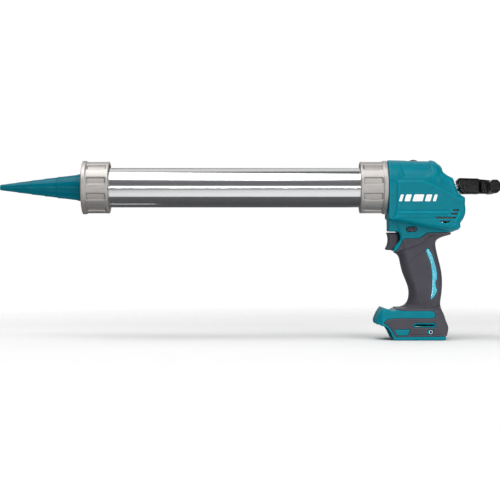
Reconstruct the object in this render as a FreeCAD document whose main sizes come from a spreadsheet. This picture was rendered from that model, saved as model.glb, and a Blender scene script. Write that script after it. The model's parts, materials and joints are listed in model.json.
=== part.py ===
import FreeCAD, Part
import math
import os
import Sketcher

# A cordless caulking gun with a foil-pack holder, modelled piece by piece, in millimetres.
# Origin: middle of the battery rail at the underside of the foot.
# +X points back along the push rod, +Z up, and the nozzle points along -X.

V = FreeCAD.Vector

# ---------------------------------------------------------------- driving dimensions

DIMENSIONS = {
    # barrel line
    "axis_height": 205.5,
    "tube_outer": 54.0,
    "tube_bore": 51.0,
    "tube_front": -447.5,
    "tube_rear": -55.0,
    "sleeve_length": 26.0,
    "sleeve_outer": 59.6,
    # union rings
    "ring_length": 36.8,
    "ring_outer": 70.4,
    "ring_rim": 72.6,
    "ring_rim_width": 6.0,
    "ring_bore": 60.4,
    "ring_mouth": 62.6,
    "ring_floor": 5.0,
    "ring_turn": 13.5,
    "front_ring_face": -456.8,
    "front_ring_hole": 40.0,
    "rear_ring_face": -44.7,
    "rear_ring_hole": 50.0,
    "recess_count": 10,
    "recess_depth": 2.2,
    "recess_width": 9.6,
    "recess_start": 7.6,
    "recess_length": 25.5,
    # nozzle and adapter
    "flange_outer": 57.0,
    "nozzle_tip": -569.0,
    "nozzle_tip_outer": 7.2,
    "nozzle_base_outer": 38.0,
    "nozzle_outlet": 4.4,
    "nozzle_outlet_length": 9.0,
    "nozzle_wall": 2.2,
    "nozzle_flange_front": -451.3,
    "nozzle_flange_back": -448.0,
    "adapter_front": -54.5,
    "adapter_step": -50.2,
    "adapter_back": -38.5,
    "adapter_neck": 49.0,
    "adapter_bore": 16.0,
    "adapter_screw_circle": 16.0,
    "adapter_screw": 4.0,
    "adapter_screw_head": 7.0,
    "adapter_head_depth": 3.2,
    # push rod, rack and piston
    "rod_diameter": 10.0,
    "rod_front": -441.0,
    "rod_back": 66.0,
    "rack_module": 1.25,
    "rack_teeth": 101,
    "rack_centre": 4.7,
    "rack_pitch_drop": 3.15,
    "rack_addendum": 1.25,
    "rack_dedendum": 1.56,
    "piston_front": -446.0,
    "piston_back": -432.0,
    "piston_outer": 50.4,
    "piston_screw": 5.0,
    "bush_bore": 10.2,
    "rear_bush_front": 37.4,
    "rear_bush_step": 39.0,
    "rear_bush_back": 46.2,
    # rod handle
    "handle_front": 49.6,
    "handle_half_width": 11.0,
    "handle_bar_x": 97.6,
    "handle_bar_height": 206.2,
    "handle_bar_outer": 14.8,
    "handle_bar_half": 30.0,
    "pin_x": 60.0,
    "pin_diameter": 4.0,
    # moulded housing
    "housing_radius": 37.3,
    "housing_wall": 3.0,
    "neck_half": 22.0,
    "core_half": 17.2,
    "grip_half": 19.6,
    "foot_core_half": 35.0,
    "foot_half": 37.0,
    "strip_height": 5.2,
    "boss_radius": 4.0,
    "screw_pilot": 1.6,
    "screw_clearance": 2.0,
    "screw_head": 3.3,
    "screw_seat": 12.0,
    "screw_reach": 9.0,
    # battery foot
    "bay_half": 31.0,
    "rail_half": 25.0,
    "rail_height": 6.0,
    "bay_height": 21.0,
    "bay_back": 26.0,
    "insert_x": 11.0,
    "insert_height": 11.2,
    "insert_outer": 2.5,
    "insert_bore": 1.65,
    "insert_inner_face": 31.2,
    "insert_outer_face": 36.6,
    "terminal_front": 8.0,
    "terminal_back": 25.8,
    "terminal_half": 17.0,
    "terminal_low": 8.0,
    "terminal_high": 20.8,
    "blade_front": -8.0,
    "blade_back": 20.0,
    "blade_low": 11.0,
    "blade_high": 17.0,
    "blade_thickness": 0.8,
    "blade_pitch": 10.0,
    "board_low": 25.5,
    "board_thickness": 1.6,
    # controls
    "trigger_half": 11.0,
    "trigger_slot": 11.6,
    "lock_x": -13.2,
    "lock_height": 148.6,
    "lock_length": 13.8,
    "lock_depth": 5.8,
    "lock_half": 24.0,
    "dial_x": -9.0,
    "dial_height": 233.3,
    "dial_radius": 10.0,
    "dial_half": 4.5,
    # gear train
    "shaft_drop": 14.45,
    "pinion_teeth": 18,
    "pinion_half": 4.5,
    "shaft_diameter": 8.0,
    "bearing_outer": 16.0,
    "bearing_inner_face": 8.0,
    "bearing_width": 5.0,
    "final_module": 1.0,
    "final_teeth": 50,
    "drive_teeth": 13,
    "final_face": -22.0,
    "final_back": -28.5,
    "motor_x": 33.8,
    "motor_height": 179.1,
    "motor_outer": 36.0,
    "motor_front": -6.0,
    "motor_back": 30.0,
    "sun_module": 0.6,
    "sun_teeth": 12,
    "planet_teeth": 18,
    "ring_gear_teeth": 48,
    "ring_gear_front": -20.0,
    "ring_gear_back": -9.0,
    "carrier_pin": 2.4,
    "case_screw": 2.0,
    "case_screw_head": 3.8,
    "case_ear": 5.6,
    "backlash": 0.12,
}

doc = FreeCAD.newDocument("caulking_gun")
sheet = doc.addObject("Spreadsheet::Sheet", "dims")
for row, (alias, amount) in enumerate(DIMENSIONS.items(), 1):
    sheet.set(f"A{row}", alias)
    sheet.set(f"B{row}", str(amount))
    sheet.setAlias(f"B{row}", alias)
doc.recompute()


class Size:
    """A length with its present number and the expression that binds it to the sheet."""

    def __init__(self, number, text):
        self.number = float(number)
        self.text = text

    def __float__(self):
        return self.number

    def combine(self, other, sign, number):
        text = other.text if isinstance(other, Size) else str(float(other))
        return Size(number, f"({self.text} {sign} ({text}))")

    def __add__(self, other):
        return self.combine(other, "+", self.number + float(other))

    def __sub__(self, other):
        return self.combine(other, "-", self.number - float(other))

    def __mul__(self, other):
        return self.combine(other, "*", self.number * float(other))

    def __truediv__(self, other):
        return self.combine(other, "/", self.number / float(other))

    def __neg__(self):
        return Size(-self.number, f"(-1 * {self.text})")

    __radd__ = __add__
    __rmul__ = __mul__

    def __rsub__(self, other):
        return -self + other


class Sizes:
    """Every alias of the sheet as an attribute."""

    def __getattr__(self, alias):
        return Size(sheet.get(alias), f"dims.{alias}")


d = Sizes()

# ---------------------------------------------------------------- side outlines (X, Z)

UPPER_OUTLINE = [
    (-44.2, 242.8), (4, 241.2), (12, 240.3), (14, 242.3), (19.5, 242.2), (26, 235.5),
    (28, 232), (28, 226), (34, 221), (41.8, 217), (44.4, 207), (46.6, 200), (53, 193.5),
    (57.5, 191.5), (57.5, 186.5), (57, 183), (58, 176), (57.5, 169), (54.5, 162),
    (50.5, 156.5), (51.5, 151.5), (48, 147.4), (38, 147), (8, 151.5), (-40, 161.5),
    (-44.2, 163),
]
NECK_OUTLINE = [
    (-43.4, 168), (-43.4, 146), (-31, 145.6), (-28.4, 141.5), (-28, 137), (-29.2, 133.5),
    (-31.6, 130), (-35, 126.5), (-37.4, 118.9), (-30.3, 120.8), (-27.8, 124.3), (-23.3, 134),
    (-20.5, 136.1), (-0.4, 136.5), (9.9, 144.2), (42, 145), (46, 147.5), (46, 168),
]
GRIP_OUTLINE = [
    (-37, 118.4), (-30.3, 120.5), (-27.6, 124.2), (-23.1, 133.9), (-20.4, 135.9),
    (-0.2, 136.3), (10, 144), (42, 144.6), (41, 142), (33, 140), (26, 137.7), (21.7, 135),
    (19.7, 131.5), (20, 125), (23, 112), (26, 100.5), (28, 91), (28.9, 82), (28.9, 71.5),
    (28, 61), (26.2, 50), (26.5, 43.4), (-25.4, 43), (-20, 46.4), (-16.4, 51), (-14.6, 56),
    (-14.1, 62), (-14.2, 66), (-15.6, 73), (-19, 81.3), (-22.5, 89.6), (-24.8, 98),
    (-26.3, 106.3), (-27.4, 111), (-29.4, 114.5), (-33, 117.2),
]
CORE_OUTLINE = [
    (-22, 131), (-22, 148), (34, 148), (31, 142.4), (24.6, 140), (19.2, 136.4), (17.4, 131),
    (17.7, 125), (20.7, 111.5), (23.7, 100), (25.7, 90.6), (26.6, 82), (26.6, 71.5),
    (25.7, 61), (24, 50), (24, 38), (-24, 38), (-18, 47), (-14, 52), (-11.8, 62), (-12, 66.5),
    (-13.4, 73.6), (-16.8, 82), (-20.3, 90.4), (-22.6, 99), (-24, 106.6), (-25.2, 112),
    (-27.6, 116.2), (-31, 118.6), (-25.6, 123.4),
]
FOOT_OUTLINE = [
    (-52, 44), (-57.7, 35.4), (-61.5, 27), (-61.6, 23.8), (-60.5, 20.9), (-56.6, 19.4),
    (-49.3, 18.7), (-45.7, 15.7), (-42, 10), (-37.5, 0), (31.2, 0), (34, 11), (35, 16.5),
    (34, 20.2), (31.2, 26.6), (29, 34), (25.6, 41), (25.6, 43), (-33, 42.6), (-39, 39),
    (-46, 41.2),
]
TRIGGER_OUTLINE = [
    (-45.4, 144.6), (-43.4, 139.5), (-43.1, 134), (-44.2, 129), (-47, 122.8), (-46, 120.9),
    (-38.6, 120.4), (-36, 121.3), (-32.4, 124.6), (-29.9, 128.4), (-28.9, 134), (-29.2, 139),
    (-31.4, 144.6),
]
HANDLE_OUTLINE = [
    (49.6, 214.6), (52.2, 218.2), (78, 217.4), (80.5, 214.5), (80.5, 199.5), (78, 196.8),
    (57, 196.6), (52.4, 201.5),
]
HANDLE_NECK_OUTLINE = [
    (79, 215.6), (91, 213.5), (97.6, 212.5), (97.6, 201), (91, 199.6), (79, 198),
]
HOUSING_SCREWS = [
    (19, 237), (47.5, 152), (-38, 152.5), (-36, 233.5), (20, 75), (-52, 30), (30, 14),
]
VENT_SLOTS = [
    # (low X, high X, height)
    (40.6, 48.0, 173.7), (39.0, 47.0, 169.0), (17.0, 44.8, 163.8), (22.9, 37.9, 158.6),
]

# ---------------------------------------------------------------- building blocks

AXIS_TURN = {
    "X": FreeCAD.Rotation(V(0, 1, 0), 90),
    "Y": FreeCAD.Rotation(V(1, 0, 0), -90),
    "Z": FreeCAD.Rotation(),
}
nodes = []


def bind(item, path, size):
    """Give a property a plain number, or bind it to the sheet."""
    if isinstance(size, Size):
        item.setExpression(path, size.text)
    else:
        setattr(item, path, size)


def place(item, at, rotation=FreeCAD.Rotation()):
    """Put an item at a point whose coordinates may be bound."""
    item.Placement = FreeCAD.Placement(V(*[float(value) for value in at]), rotation)
    for name, value in zip("xyz", at):
        if isinstance(value, Size):
            item.setExpression(f"Placement.Base.{name}", value.text)


def node(label, item):
    """Make an item a sub-part of its own."""
    item.Label = label
    nodes.append(item)
    return item


def block(xs, ys, zs):
    """A box between two values on each axis."""
    item = doc.addObject("Part::Box", "Block")
    for name, (low, high) in zip(("Length", "Width", "Height"), (xs, ys, zs)):
        bind(item, name, high - low)
    place(item, (xs[0], ys[0], zs[0]))
    return item


def bar(axis, at, radius, start, end):
    """A cylinder along an axis; at gives the other two coordinates."""
    item = doc.addObject("Part::Cylinder", "Bar")
    bind(item, "Radius", radius)
    bind(item, "Height", end - start)
    point = list(at)
    point.insert("XYZ".index(axis), start)
    place(item, point, AXIS_TURN[axis])
    return item


def fuse(*items):
    item = doc.addObject("Part::MultiFuse", "Fuse")
    item.Shapes = list(items)
    return item


def common(*items):
    item = doc.addObject("Part::MultiCommon", "Common")
    item.Shapes = list(items)
    return item


def cut(base, *tools):
    item = doc.addObject("Part::Cut", "Cut")
    item.Base = base
    item.Tool = tools[0] if len(tools) == 1 else fuse(*tools)
    return item


def tube(axis, at, outer, inner, start, end):
    """A cylinder with a round hole right through it."""
    return cut(bar(axis, at, outer, start, end), bar(axis, at, inner, start - 1, end + 1))


def closed_sketch(body, role, points, offset=0.0):
    """A closed polygon on an origin plane, each corner held by two dimensions."""
    sketch = body.newObject("Sketcher::SketchObject", "Outline")
    plane = next(item for item in body.Origin.OriginFeatures if item.Role == role)
    sketch.AttachmentSupport = [(plane, "")]
    sketch.MapMode = "FlatFace"
    sketch.AttachmentOffset = FreeCAD.Placement(V(0, 0, float(offset)), FreeCAD.Rotation())
    if isinstance(offset, Size):
        sketch.setExpression("AttachmentOffset.Base.z", offset.text)
    corners = [V(float(along), float(up), 0) for along, up in points]
    count = len(corners)
    for index in range(count):
        line = Part.LineSegment(corners[index], corners[(index + 1) % count])
        sketch.addGeometry(line, False)
    for index in range(count):
        sketch.addConstraint(
            Sketcher.Constraint("Coincident", index, 2, (index + 1) % count, 1))
    for index, point in enumerate(points):
        for kind, value in zip(("DistanceX", "DistanceY"), point):
            number = sketch.addConstraint(
                Sketcher.Constraint(kind, -1, 1, index, 1, float(value)))
            if isinstance(value, Size):
                sketch.setExpression(f"Constraints[{number}]", value.text)
    return sketch


def turned(axis, at, points):
    """A solid of revolution; each point is (distance along the axis, radius)."""
    body = doc.addObject("PartDesign::Body", "Turned")
    if axis == "X":
        sketch = closed_sketch(body, "XZ_Plane", points)
        line = "H_Axis"
    else:
        sketch = closed_sketch(body, "XY_Plane", [(radius, along) for along, radius in points])
        line = "V_Axis"
    turn = body.newObject("PartDesign::Revolution", "Turn")
    turn.Profile = sketch
    turn.ReferenceAxis = (sketch, [line])
    turn.Angle = 360
    place(body, at)
    return body


def pad(points, low, high):
    """A plate of constant thickness with a side outline, from low to high along Y."""
    body = doc.addObject("PartDesign::Body", "Plate")
    sketch = closed_sketch(body, "XZ_Plane", points, -high)
    plate = body.newObject("PartDesign::Pad", "Pad")
    plate.Profile = sketch
    bind(plate, "Length", high - low)
    return body


def inset(points, wall):
    """The same polygon drawn in by a wall thickness."""
    count = len(points)
    area = sum(points[i - 1][0] * points[i][1] - points[i][0] * points[i - 1][1]
               for i in range(count))
    side = math.copysign(float(wall), area)
    shifted = []
    for index in range(count):
        (ax, az), (bx, bz) = points[index - 1], points[index]
        length = math.hypot(bx - ax, bz - az)
        shifted.append((ax - (bz - az) / length * side, az + (bx - ax) / length * side,
                        (bx - ax) / length, (bz - az) / length))
    corners = []
    for index in range(count):
        px, pz, ux, uz = shifted[index]
        qx, qz, vx, vz = shifted[(index + 1) % count]
        step = ((qx - px) * vz - (qz - pz) * vx) / (ux * vz - uz * vx)
        corners.append((px + ux * step, pz + uz * step))
    return corners


def made(shape):
    """A piece whose shape is worked out point by point from the sheet."""
    item = doc.addObject("Part::Feature", "Made")
    item.Shape = shape
    return item


# ---------------------------------------------------------------- gears

PRESSURE = math.radians(20)


def tooth_angle(radius, pitch_radius, base_radius, teeth, slack):
    """Half the angle that an outside tooth spans at a radius."""
    half_pitch = math.pi / (2 * teeth) - slack / (2 * pitch_radius)
    if radius <= base_radius:
        radius = base_radius
    roll = math.acos(base_radius / radius)
    return half_pitch + (math.tan(PRESSURE) - PRESSURE) - (math.tan(roll) - roll)


def gear_wire(teeth, module, phase, inside=False):
    """An involute tooth outline in the XZ plane; phase is the angle of one tooth's middle."""
    slack = float(d.backlash)
    pitch_radius = teeth * module / 2
    base_radius = pitch_radius * math.cos(PRESSURE)
    tip, root = pitch_radius + module, pitch_radius - 1.25 * module
    if inside:
        tip, root = pitch_radius + 1.25 * module, pitch_radius - 0.9 * module
        slack = -slack
    flank = [root + (tip - root) * step / 3 for step in range(4)]
    corners = []
    for tooth in range(teeth):
        middle = phase + tooth * 2 * math.pi / teeth
        spans = [(radius, -tooth_angle(radius, pitch_radius, base_radius, teeth, slack))
                 for radius in flank]
        spans += [(radius, -angle) for radius, angle in reversed(spans)]
        for radius, angle in spans:
            turn = middle + angle
            corners.append(V(radius * math.cos(turn), 0, radius * math.sin(turn)))
    return Part.makePolygon(corners + corners[:1])


def gear_solid(teeth, module, phase, low, high, centre, inside=False):
    """The filled tooth outline from low to high along Y, about a centre (X, Z)."""
    face = Part.Face(gear_wire(int(float(teeth)), float(module), phase, inside))
    solid = face.extrude(V(0, float(high) - float(low), 0))
    solid.translate(V(float(centre[0]), float(low), float(centre[1])))
    return solid


# ---------------------------------------------------------------- centres used throughout

LINE = (0, 0, d.axis_height)
ACROSS = (0, d.axis_height)
SHAFT_HEIGHT = d.axis_height - d.shaft_drop
SHAFT = (d.rack_centre, SHAFT_HEIGHT)
MOTOR = (d.motor_x, d.motor_height)
INSERT = (d.insert_x, d.insert_height)
SIDES = {"left": -1, "right": 1}

# ---------------------------------------------------------------- barrel


def holder_tube():
    node("holder_tube", turned("X", LINE, [
        (d.tube_front, d.tube_bore / 2), (d.tube_front, d.tube_outer / 2),
        (d.tube_rear, d.tube_outer / 2), (d.tube_rear, d.tube_bore / 2)]))


def thread_sleeve(label, start):
    """The threaded collar that is fixed on one end of the tube."""
    end = start + d.sleeve_length
    node(label, turned("X", LINE, [
        (start, d.tube_outer / 2), (start, d.sleeve_outer / 2),
        (end, d.sleeve_outer / 2), (end, d.tube_outer / 2)]))


def union_ring(label, face, forward, hole):
    """A die-cast ring: closed floor at face, open mouth forward, ten grip recesses."""
    def at(distance):
        return face + distance * forward

    rim, outer = d.ring_rim / 2, d.ring_outer / 2
    body = turned("X", LINE, [
        (at(0), hole / 2), (at(0), rim), (at(d.ring_rim_width), rim),
        (at(d.ring_rim_width), outer), (at(d.ring_length), outer),
        (at(d.ring_length), d.ring_mouth / 2), (at(d.ring_length - 2), d.ring_bore / 2),
        (at(d.ring_floor), d.ring_bore / 2), (at(d.ring_floor), hole / 2)])
    starts = (at(d.recess_start), at(d.recess_start + d.recess_length))
    low, high = (starts if forward > 0 else starts[::-1])
    half = d.recess_width / 2
    sketch = closed_sketch(body, "XY_Plane", [(low, -half), (high, -half), (high, half),
                                              (low, half)], outer + 1)
    recess = body.newObject("PartDesign::Pocket", "Recess")
    recess.Profile = sketch
    bind(recess, "Length", d.recess_depth + 1)
    doc.recompute()
    pattern = body.newObject("PartDesign::PolarPattern", "Recesses")
    pattern.Originals = [recess]
    x_axis = next(item for item in body.Origin.OriginFeatures if item.Role == "X_Axis")
    pattern.Axis = (x_axis, [""])
    pattern.Angle = 360
    bind(pattern, "Occurrences", d.recess_count)
    body.Tip = pattern
    place(body, LINE, FreeCAD.Rotation(V(1, 0, 0), float(d.ring_turn)))
    node(label, body)


def nozzle():
    """The hollow cone with the flange that the front ring traps."""
    base, tip = d.nozzle_base_outer / 2, d.nozzle_tip_outer / 2
    inside = d.nozzle_outlet / 2
    node("nozzle", turned("X", LINE, [
        (d.nozzle_tip, inside), (d.nozzle_tip, tip), (d.nozzle_flange_front, base),
        (d.nozzle_flange_front, d.flange_outer / 2), (d.nozzle_flange_back, d.flange_outer / 2),
        (d.nozzle_flange_back, base - d.nozzle_wall),
        (d.nozzle_tip + d.nozzle_outlet_length, inside)]))


def adapter_screw_places():
    radius = d.adapter_screw_circle
    for quarter in range(4):
        turn = math.radians(45 + 90 * quarter)
        yield radius * math.cos(turn), d.axis_height + radius * math.sin(turn)


def front_adapter():
    """The flanged spigot that carries the barrel on the gear case."""
    body = turned("X", LINE, [
        (d.adapter_front, d.adapter_bore / 2), (d.adapter_front, d.flange_outer / 2),
        (d.adapter_step, d.flange_outer / 2), (d.adapter_step, d.adapter_neck / 2),
        (d.adapter_back, d.adapter_neck / 2), (d.adapter_back, d.adapter_bore / 2)])
    shank, head = d.adapter_screw / 2, d.adapter_screw_head / 2
    face, back = d.adapter_front, d.adapter_back
    seat = face + d.adapter_head_depth
    holes, screws = [], []
    for centre in adapter_screw_places():
        holes += [bar("X", centre, shank, face - 1, back + 1),
                  bar("X", centre, head + 0.3, face - 1, seat)]
        screws += [bar("X", centre, shank, seat, back + 4),
                   bar("X", centre, head, face + 0.4, seat)]
    node("front_adapter", cut(body, *holes))
    node("adapter_screws", fuse(*screws))


# ---------------------------------------------------------------- push rod


def push_rod():
    """The round rod with a straight rack cut into its underside."""
    height = float(d.axis_height)
    radius = float(d.rod_diameter) / 2
    module, count = float(d.rack_module), int(float(d.rack_teeth))
    step = math.pi * module
    pitch_line = height - float(d.rack_pitch_drop)
    tip_line = pitch_line - float(d.rack_addendum)
    root_line = pitch_line + float(d.rack_dedendum)
    below = height - radius - 1
    slope = math.tan(PRESSURE)
    half_gap = step / 4 + float(d.backlash) / 4
    wide = half_gap + float(d.rack_addendum) * slope
    narrow = half_gap - float(d.rack_dedendum) * slope
    first = float(d.rack_centre) + 2 * step
    outline = [V(first + wide, 0, below)]
    for tooth in range(count):
        middle = first - tooth * step
        outline += [V(middle + wide, 0, tip_line), V(middle + narrow, 0, root_line),
                    V(middle - narrow, 0, root_line), V(middle - wide, 0, tip_line)]
    outline.append(V(first - (count - 1) * step - wide, 0, below))
    comb = Part.Face(Part.makePolygon(outline + outline[:1])).extrude(V(0, 4 * radius, 0))
    comb.translate(V(0, -2 * radius, 0))
    start, end = float(d.rod_front), float(d.rod_back)
    shape = Part.makeCylinder(radius, end - start, V(start, 0, height), V(1, 0, 0))
    shape = shape.cut(comb)
    screw_hole = Part.makeCylinder(float(d.piston_screw) / 2, 16, V(start, 0, height), V(1, 0, 0))
    pin_hole = Part.makeCylinder(float(d.pin_diameter) / 2, 4 * radius,
                                 V(float(d.pin_x), -2 * radius, height), V(0, 1, 0))
    node("rod", made(shape.cut(screw_hole).cut(pin_hole)))


def piston():
    """Plunger with two wiper lips, its steel washer and its screw."""
    outer, hub = d.piston_outer / 2, d.rod_diameter / 2
    screw = d.piston_screw / 2
    front, back = d.piston_front, d.piston_back
    node("piston", turned("X", LINE, [
        (front, screw), (front, outer - 3), (front + 2, outer), (front + 4, outer),
        (front + 5, outer - 1.5), (back - 5, outer - 1.5), (back - 4, outer), (back - 1, outer),
        (back, outer - 2), (back, hub), (d.rod_front, hub), (d.rod_front, screw)]))
    node("piston_plate", tube("X", ACROSS, 12.0, screw, front - 1.5, front))
    node("piston_screw", fuse(
        bar("X", ACROSS, screw, front - 1.5, d.rod_front + 16),
        bar("X", ACROSS, 4.6, front - 4.5, front - 1.5)))


def rod_handle():
    """Grip block, neck and cross bar at the back of the rod."""
    half = d.handle_half_width
    long = d.handle_bar_half
    big = d.handle_bar_outer / 2
    grip = pad(HANDLE_OUTLINE, -half, half)
    waist = pad(HANDLE_NECK_OUTLINE, -half + 5, half - 5)
    cross_bar = turned("Y", (d.handle_bar_x, 0, d.handle_bar_height), [
        (-long, 0), (-long, big - 2.4), (-long + 2.4, big - 0.4), (-long + 10, big),
        (-8, big - 0.9), (8, big - 0.9), (long - 10, big), (long - 2.4, big - 0.4),
        (long, big - 2.4), (long, 0)])
    rod_hole = bar("X", ACROSS, d.rod_diameter / 2, d.handle_front - 1, d.rod_back)
    pin_hole = bar("Y", (d.pin_x, d.axis_height), d.pin_diameter / 2, -half - 1, half + 1)
    node("rod_handle", cut(fuse(grip, waist, cross_bar), rod_hole, pin_hole))
    node("handle_pin", bar("Y", (d.pin_x, d.axis_height), d.pin_diameter / 2,
                           -half + 0.3, half - 0.3))


def rod_bushes():
    bore, outer = d.bush_bore / 2, d.adapter_bore / 2
    node("rod_bush_front", tube("X", ACROSS, outer, bore, d.adapter_front, d.adapter_back - 2))
    front, seat, back = d.rear_bush_front, d.rear_bush_step, d.rear_bush_back
    node("rod_bush_rear", fuse(tube("X", ACROSS, outer, bore, seat, back),
                               tube("X", ACROSS, outer + 0.8, bore, front, seat)))


# ---------------------------------------------------------------- moulded housing


def round_top(radius):
    """Everything inside the housing's arched cross-section of a given radius."""
    return fuse(bar("X", ACROSS, radius, -70.0, 80.0),
                block((-70.0, 80.0), (-radius, radius), (d.axis_height - 90, d.axis_height)))


def half_span(side, depth):
    """Low and high Y of one half of the housing, to a depth from the parting plane."""
    return (-depth, depth * 0) if side < 0 else (depth * 0, depth)


def housing_shell(side):
    """One half's walls: upper body, neck, grip core and foot, hollowed out."""
    wall = d.housing_wall
    radius = d.housing_radius
    upper = common(pad(UPPER_OUTLINE, *half_span(side, radius)), round_top(radius))
    neck = pad(NECK_OUTLINE, *half_span(side, d.neck_half))
    core = pad(CORE_OUTLINE, *half_span(side, d.core_half))
    foot = pad(FOOT_OUTLINE, *half_span(side, d.foot_core_half))
    room = common(pad(inset(UPPER_OUTLINE, wall), *half_span(side, radius - wall)),
                  round_top(radius - wall))
    neck_room = common(
        pad(inset(NECK_OUTLINE, 2.4), *half_span(side, d.core_half - 2.4)),
        block((-28.0, 45.0), (-30.0, 30.0), (120.0, 170.0)))
    passage = block((-26.0, 40.0), half_span(side, d.neck_half - wall), (150.0, 166.0))
    core_room = pad(inset(CORE_OUTLINE, 2.4), *half_span(side, d.core_half - 2.4))
    throat = block((-22.0, 15.0), half_span(side, d.core_half - 2.4), (121.5, 147.0))
    foot_room = common(pad(inset(FOOT_OUTLINE, wall), *half_span(side, d.bay_half)),
                       block((-60.0, 40.0), (-40.0, 40.0), (24.0, 44.0)))
    stem = block((-16.0, 20.0), half_span(side, d.core_half - 2.4), (36.0, 50.0))
    bay = block((-70.0, d.bay_back), half_span(side, d.bay_half),
                (d.rail_height, d.bay_height))
    rail_slot = block((-70.0, d.bay_back), half_span(side, d.rail_half),
                      (-1.0, d.rail_height))
    strip = common(pad(FOOT_OUTLINE, *half_span(side, d.foot_half)),
                   block((-70.0, 40.0), (-40.0, 40.0), (d.strip_height * 0, d.strip_height)))
    solid = fuse(upper, neck, core, foot, strip)
    hollow = fuse(room, neck_room, passage, core_room, throat, foot_room, stem, bay, rail_slot)
    return cut(solid, hollow)


def screw_bosses(side):
    """Posts that the housing screws join, kept inside the outer surface."""
    posts = [bar("Y", centre, d.boss_radius, *half_span(side, depth))
             for centre, depth in zip(HOUSING_SCREWS, boss_depths())]
    return fuse(*posts)


def boss_depths():
    """How far each post runs from the parting plane before it meets a side wall."""
    for across, up in HOUSING_SCREWS:
        if up > 210:
            yield math.sqrt(36.0 ** 2 - (up + 3.0 - float(d.axis_height)) ** 2)
        elif up > 140:
            yield 35.0 if across > 0 else 20.5
        elif up > 50:
            yield 15.5
        else:
            yield 33.0


def housing_openings(side):
    """Everything cut through the walls of one half."""
    inner = d.housing_radius - d.housing_wall - 1
    tools = [
        bar("X", ACROSS, d.adapter_neck / 2 + 0.1, -50.0, -36.0),
        bar("X", ACROSS, d.adapter_bore / 2 + 0.05, d.rear_bush_step - 0.5, 62.0),
        block((-60.0, -19.0), (-d.trigger_slot, d.trigger_slot), (120.0, 145.2)),
        block((d.dial_x - 9.5, d.dial_x + 9.5), (-5.2, 5.2), (234.0, 250.0)),
        block((d.lock_x - 7.2, d.lock_x + 7.2), (-30.0, 30.0), (d.lock_height - 3.1,
                                                              d.lock_height + 3.1)),
        bar("Y", INSERT, d.insert_outer, *half_span(side, 40.0)),
    ]
    for low, high, up in VENT_SLOTS:
        start, end = ((inner, 40.0) if side > 0 else (-40.0, -inner))
        tools.append(block((low, high), (start, end), (up - 1.0, up + 1.0)))
    for centre in HOUSING_SCREWS:
        if side < 0:
            tools.append(bar("Y", centre, d.screw_pilot, -d.screw_reach, 1.0))
        else:
            tools.append(bar("Y", centre, d.screw_clearance, -1.0, d.screw_seat + 1))
            tools.append(bar("Y", centre, d.screw_head + 0.3, d.screw_seat, 45.0))
    return tools


def housing(label, side):
    node(label, cut(fuse(housing_shell(side), screw_bosses(side)), *housing_openings(side)))


def grip_cover(label, side):
    """The soft overmould over the grip core and the sides of the foot."""
    sleeve = pad(GRIP_OUTLINE, *half_span(side, d.grip_half))
    core = pad(CORE_OUTLINE, *half_span(side, d.core_half))
    low, high = half_span(side, d.foot_half)
    skin_span = (low, low + 2.0) if side < 0 else (high - 2.0, high)
    skin = pad(FOOT_OUTLINE, *skin_span)
    windows = [
        block((-70.0, 40.0), (-40.0, 40.0), (-1.0, d.strip_height)),
        block((-44.0, 16.0), (-40.0, 40.0), (29.2, 37.9)),
        block((-36.0, -18.0), (-40.0, 40.0), (6.2, 14.0)),
        block((6.5, 16.0), (-40.0, 40.0), (8.0, 14.2)),
        block((-64.0, -44.0), (-40.0, 40.0), (18.0, 46.0)),
    ]
    holes = [bar("Y", centre, d.screw_head + 0.3, -1.0, 45.0) for centre in HOUSING_SCREWS
             if side > 0]
    slot = block((-60.0, -24.0), (-d.trigger_slot, d.trigger_slot), (118.0, 145.2))
    throat = block((-26.0, 17.0), (-d.core_half, d.core_half), (121.5, 150.0))
    shut = pad(NECK_OUTLINE, *half_span(side, d.neck_half))
    foot = pad(FOOT_OUTLINE, *half_span(side, d.foot_core_half))
    brim_span = (low, -d.core_half) if side < 0 else (d.core_half, high)
    brim = cut(block((-31.0, 25.6), brim_span, (41.0, 44.0)), foot)
    node(label, fuse(cut(sleeve, core, shut, foot, slot, throat, *holes), brim,
                     cut(skin, *windows, *holes)))


def housing_screws():
    screws = []
    for centre in HOUSING_SCREWS:
        screws.append(bar("Y", centre, d.screw_pilot, -d.screw_reach + 0.5, d.screw_seat))
        screws.append(cut(bar("Y", centre, d.screw_head, d.screw_seat, d.screw_seat + 2.6),
                          bar("Y", centre, 1.5, d.screw_seat + 1, d.screw_seat + 3)))
    node("housing_screws", fuse(*screws))


def belt_hook_inserts():
    """Threaded brass inserts in the foot's side walls."""
    for name, side in SIDES.items():
        low, high = d.insert_inner_face, d.insert_outer_face
        span = (low, high) if side > 0 else (-high, -low)
        node(f"hook_insert_{name}", tube("Y", INSERT, d.insert_outer, d.insert_bore, *span))


# ---------------------------------------------------------------- controls and electrics


def trigger():
    half = d.trigger_half
    finger = pad(TRIGGER_OUTLINE, -half, half)
    pocket = bar("X", (0, 133.0), 4.6, -36.0, -20.0)
    node("trigger", cut(finger, pocket))
    node("trigger_spring", tube("X", (0, 133.0), 4.0, 3.0, -35.9, -21.6))
    case = fuse(block((-21.5, 11.5), (-8.0, 8.0), (122.5, 143.5)),
                block((-10.0, 6.0), (-5.0, 5.0), (118.5, 122.5)))
    node("trigger_switch", case)


def lock_off_button():
    """Cross bolt with pill-shaped ends."""
    reach = (d.lock_length - d.lock_depth) / 2
    rest = (-d.lock_half, d.lock_half)
    radius = d.lock_depth / 2
    ends = [bar("Y", (d.lock_x + shift, d.lock_height), radius, *rest)
            for shift in (-reach, reach)]
    middle = block((d.lock_x - reach, d.lock_x + reach), rest,
                   (d.lock_height - radius, d.lock_height + radius))
    node("lock_off_button", fuse(middle, *ends))


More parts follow.
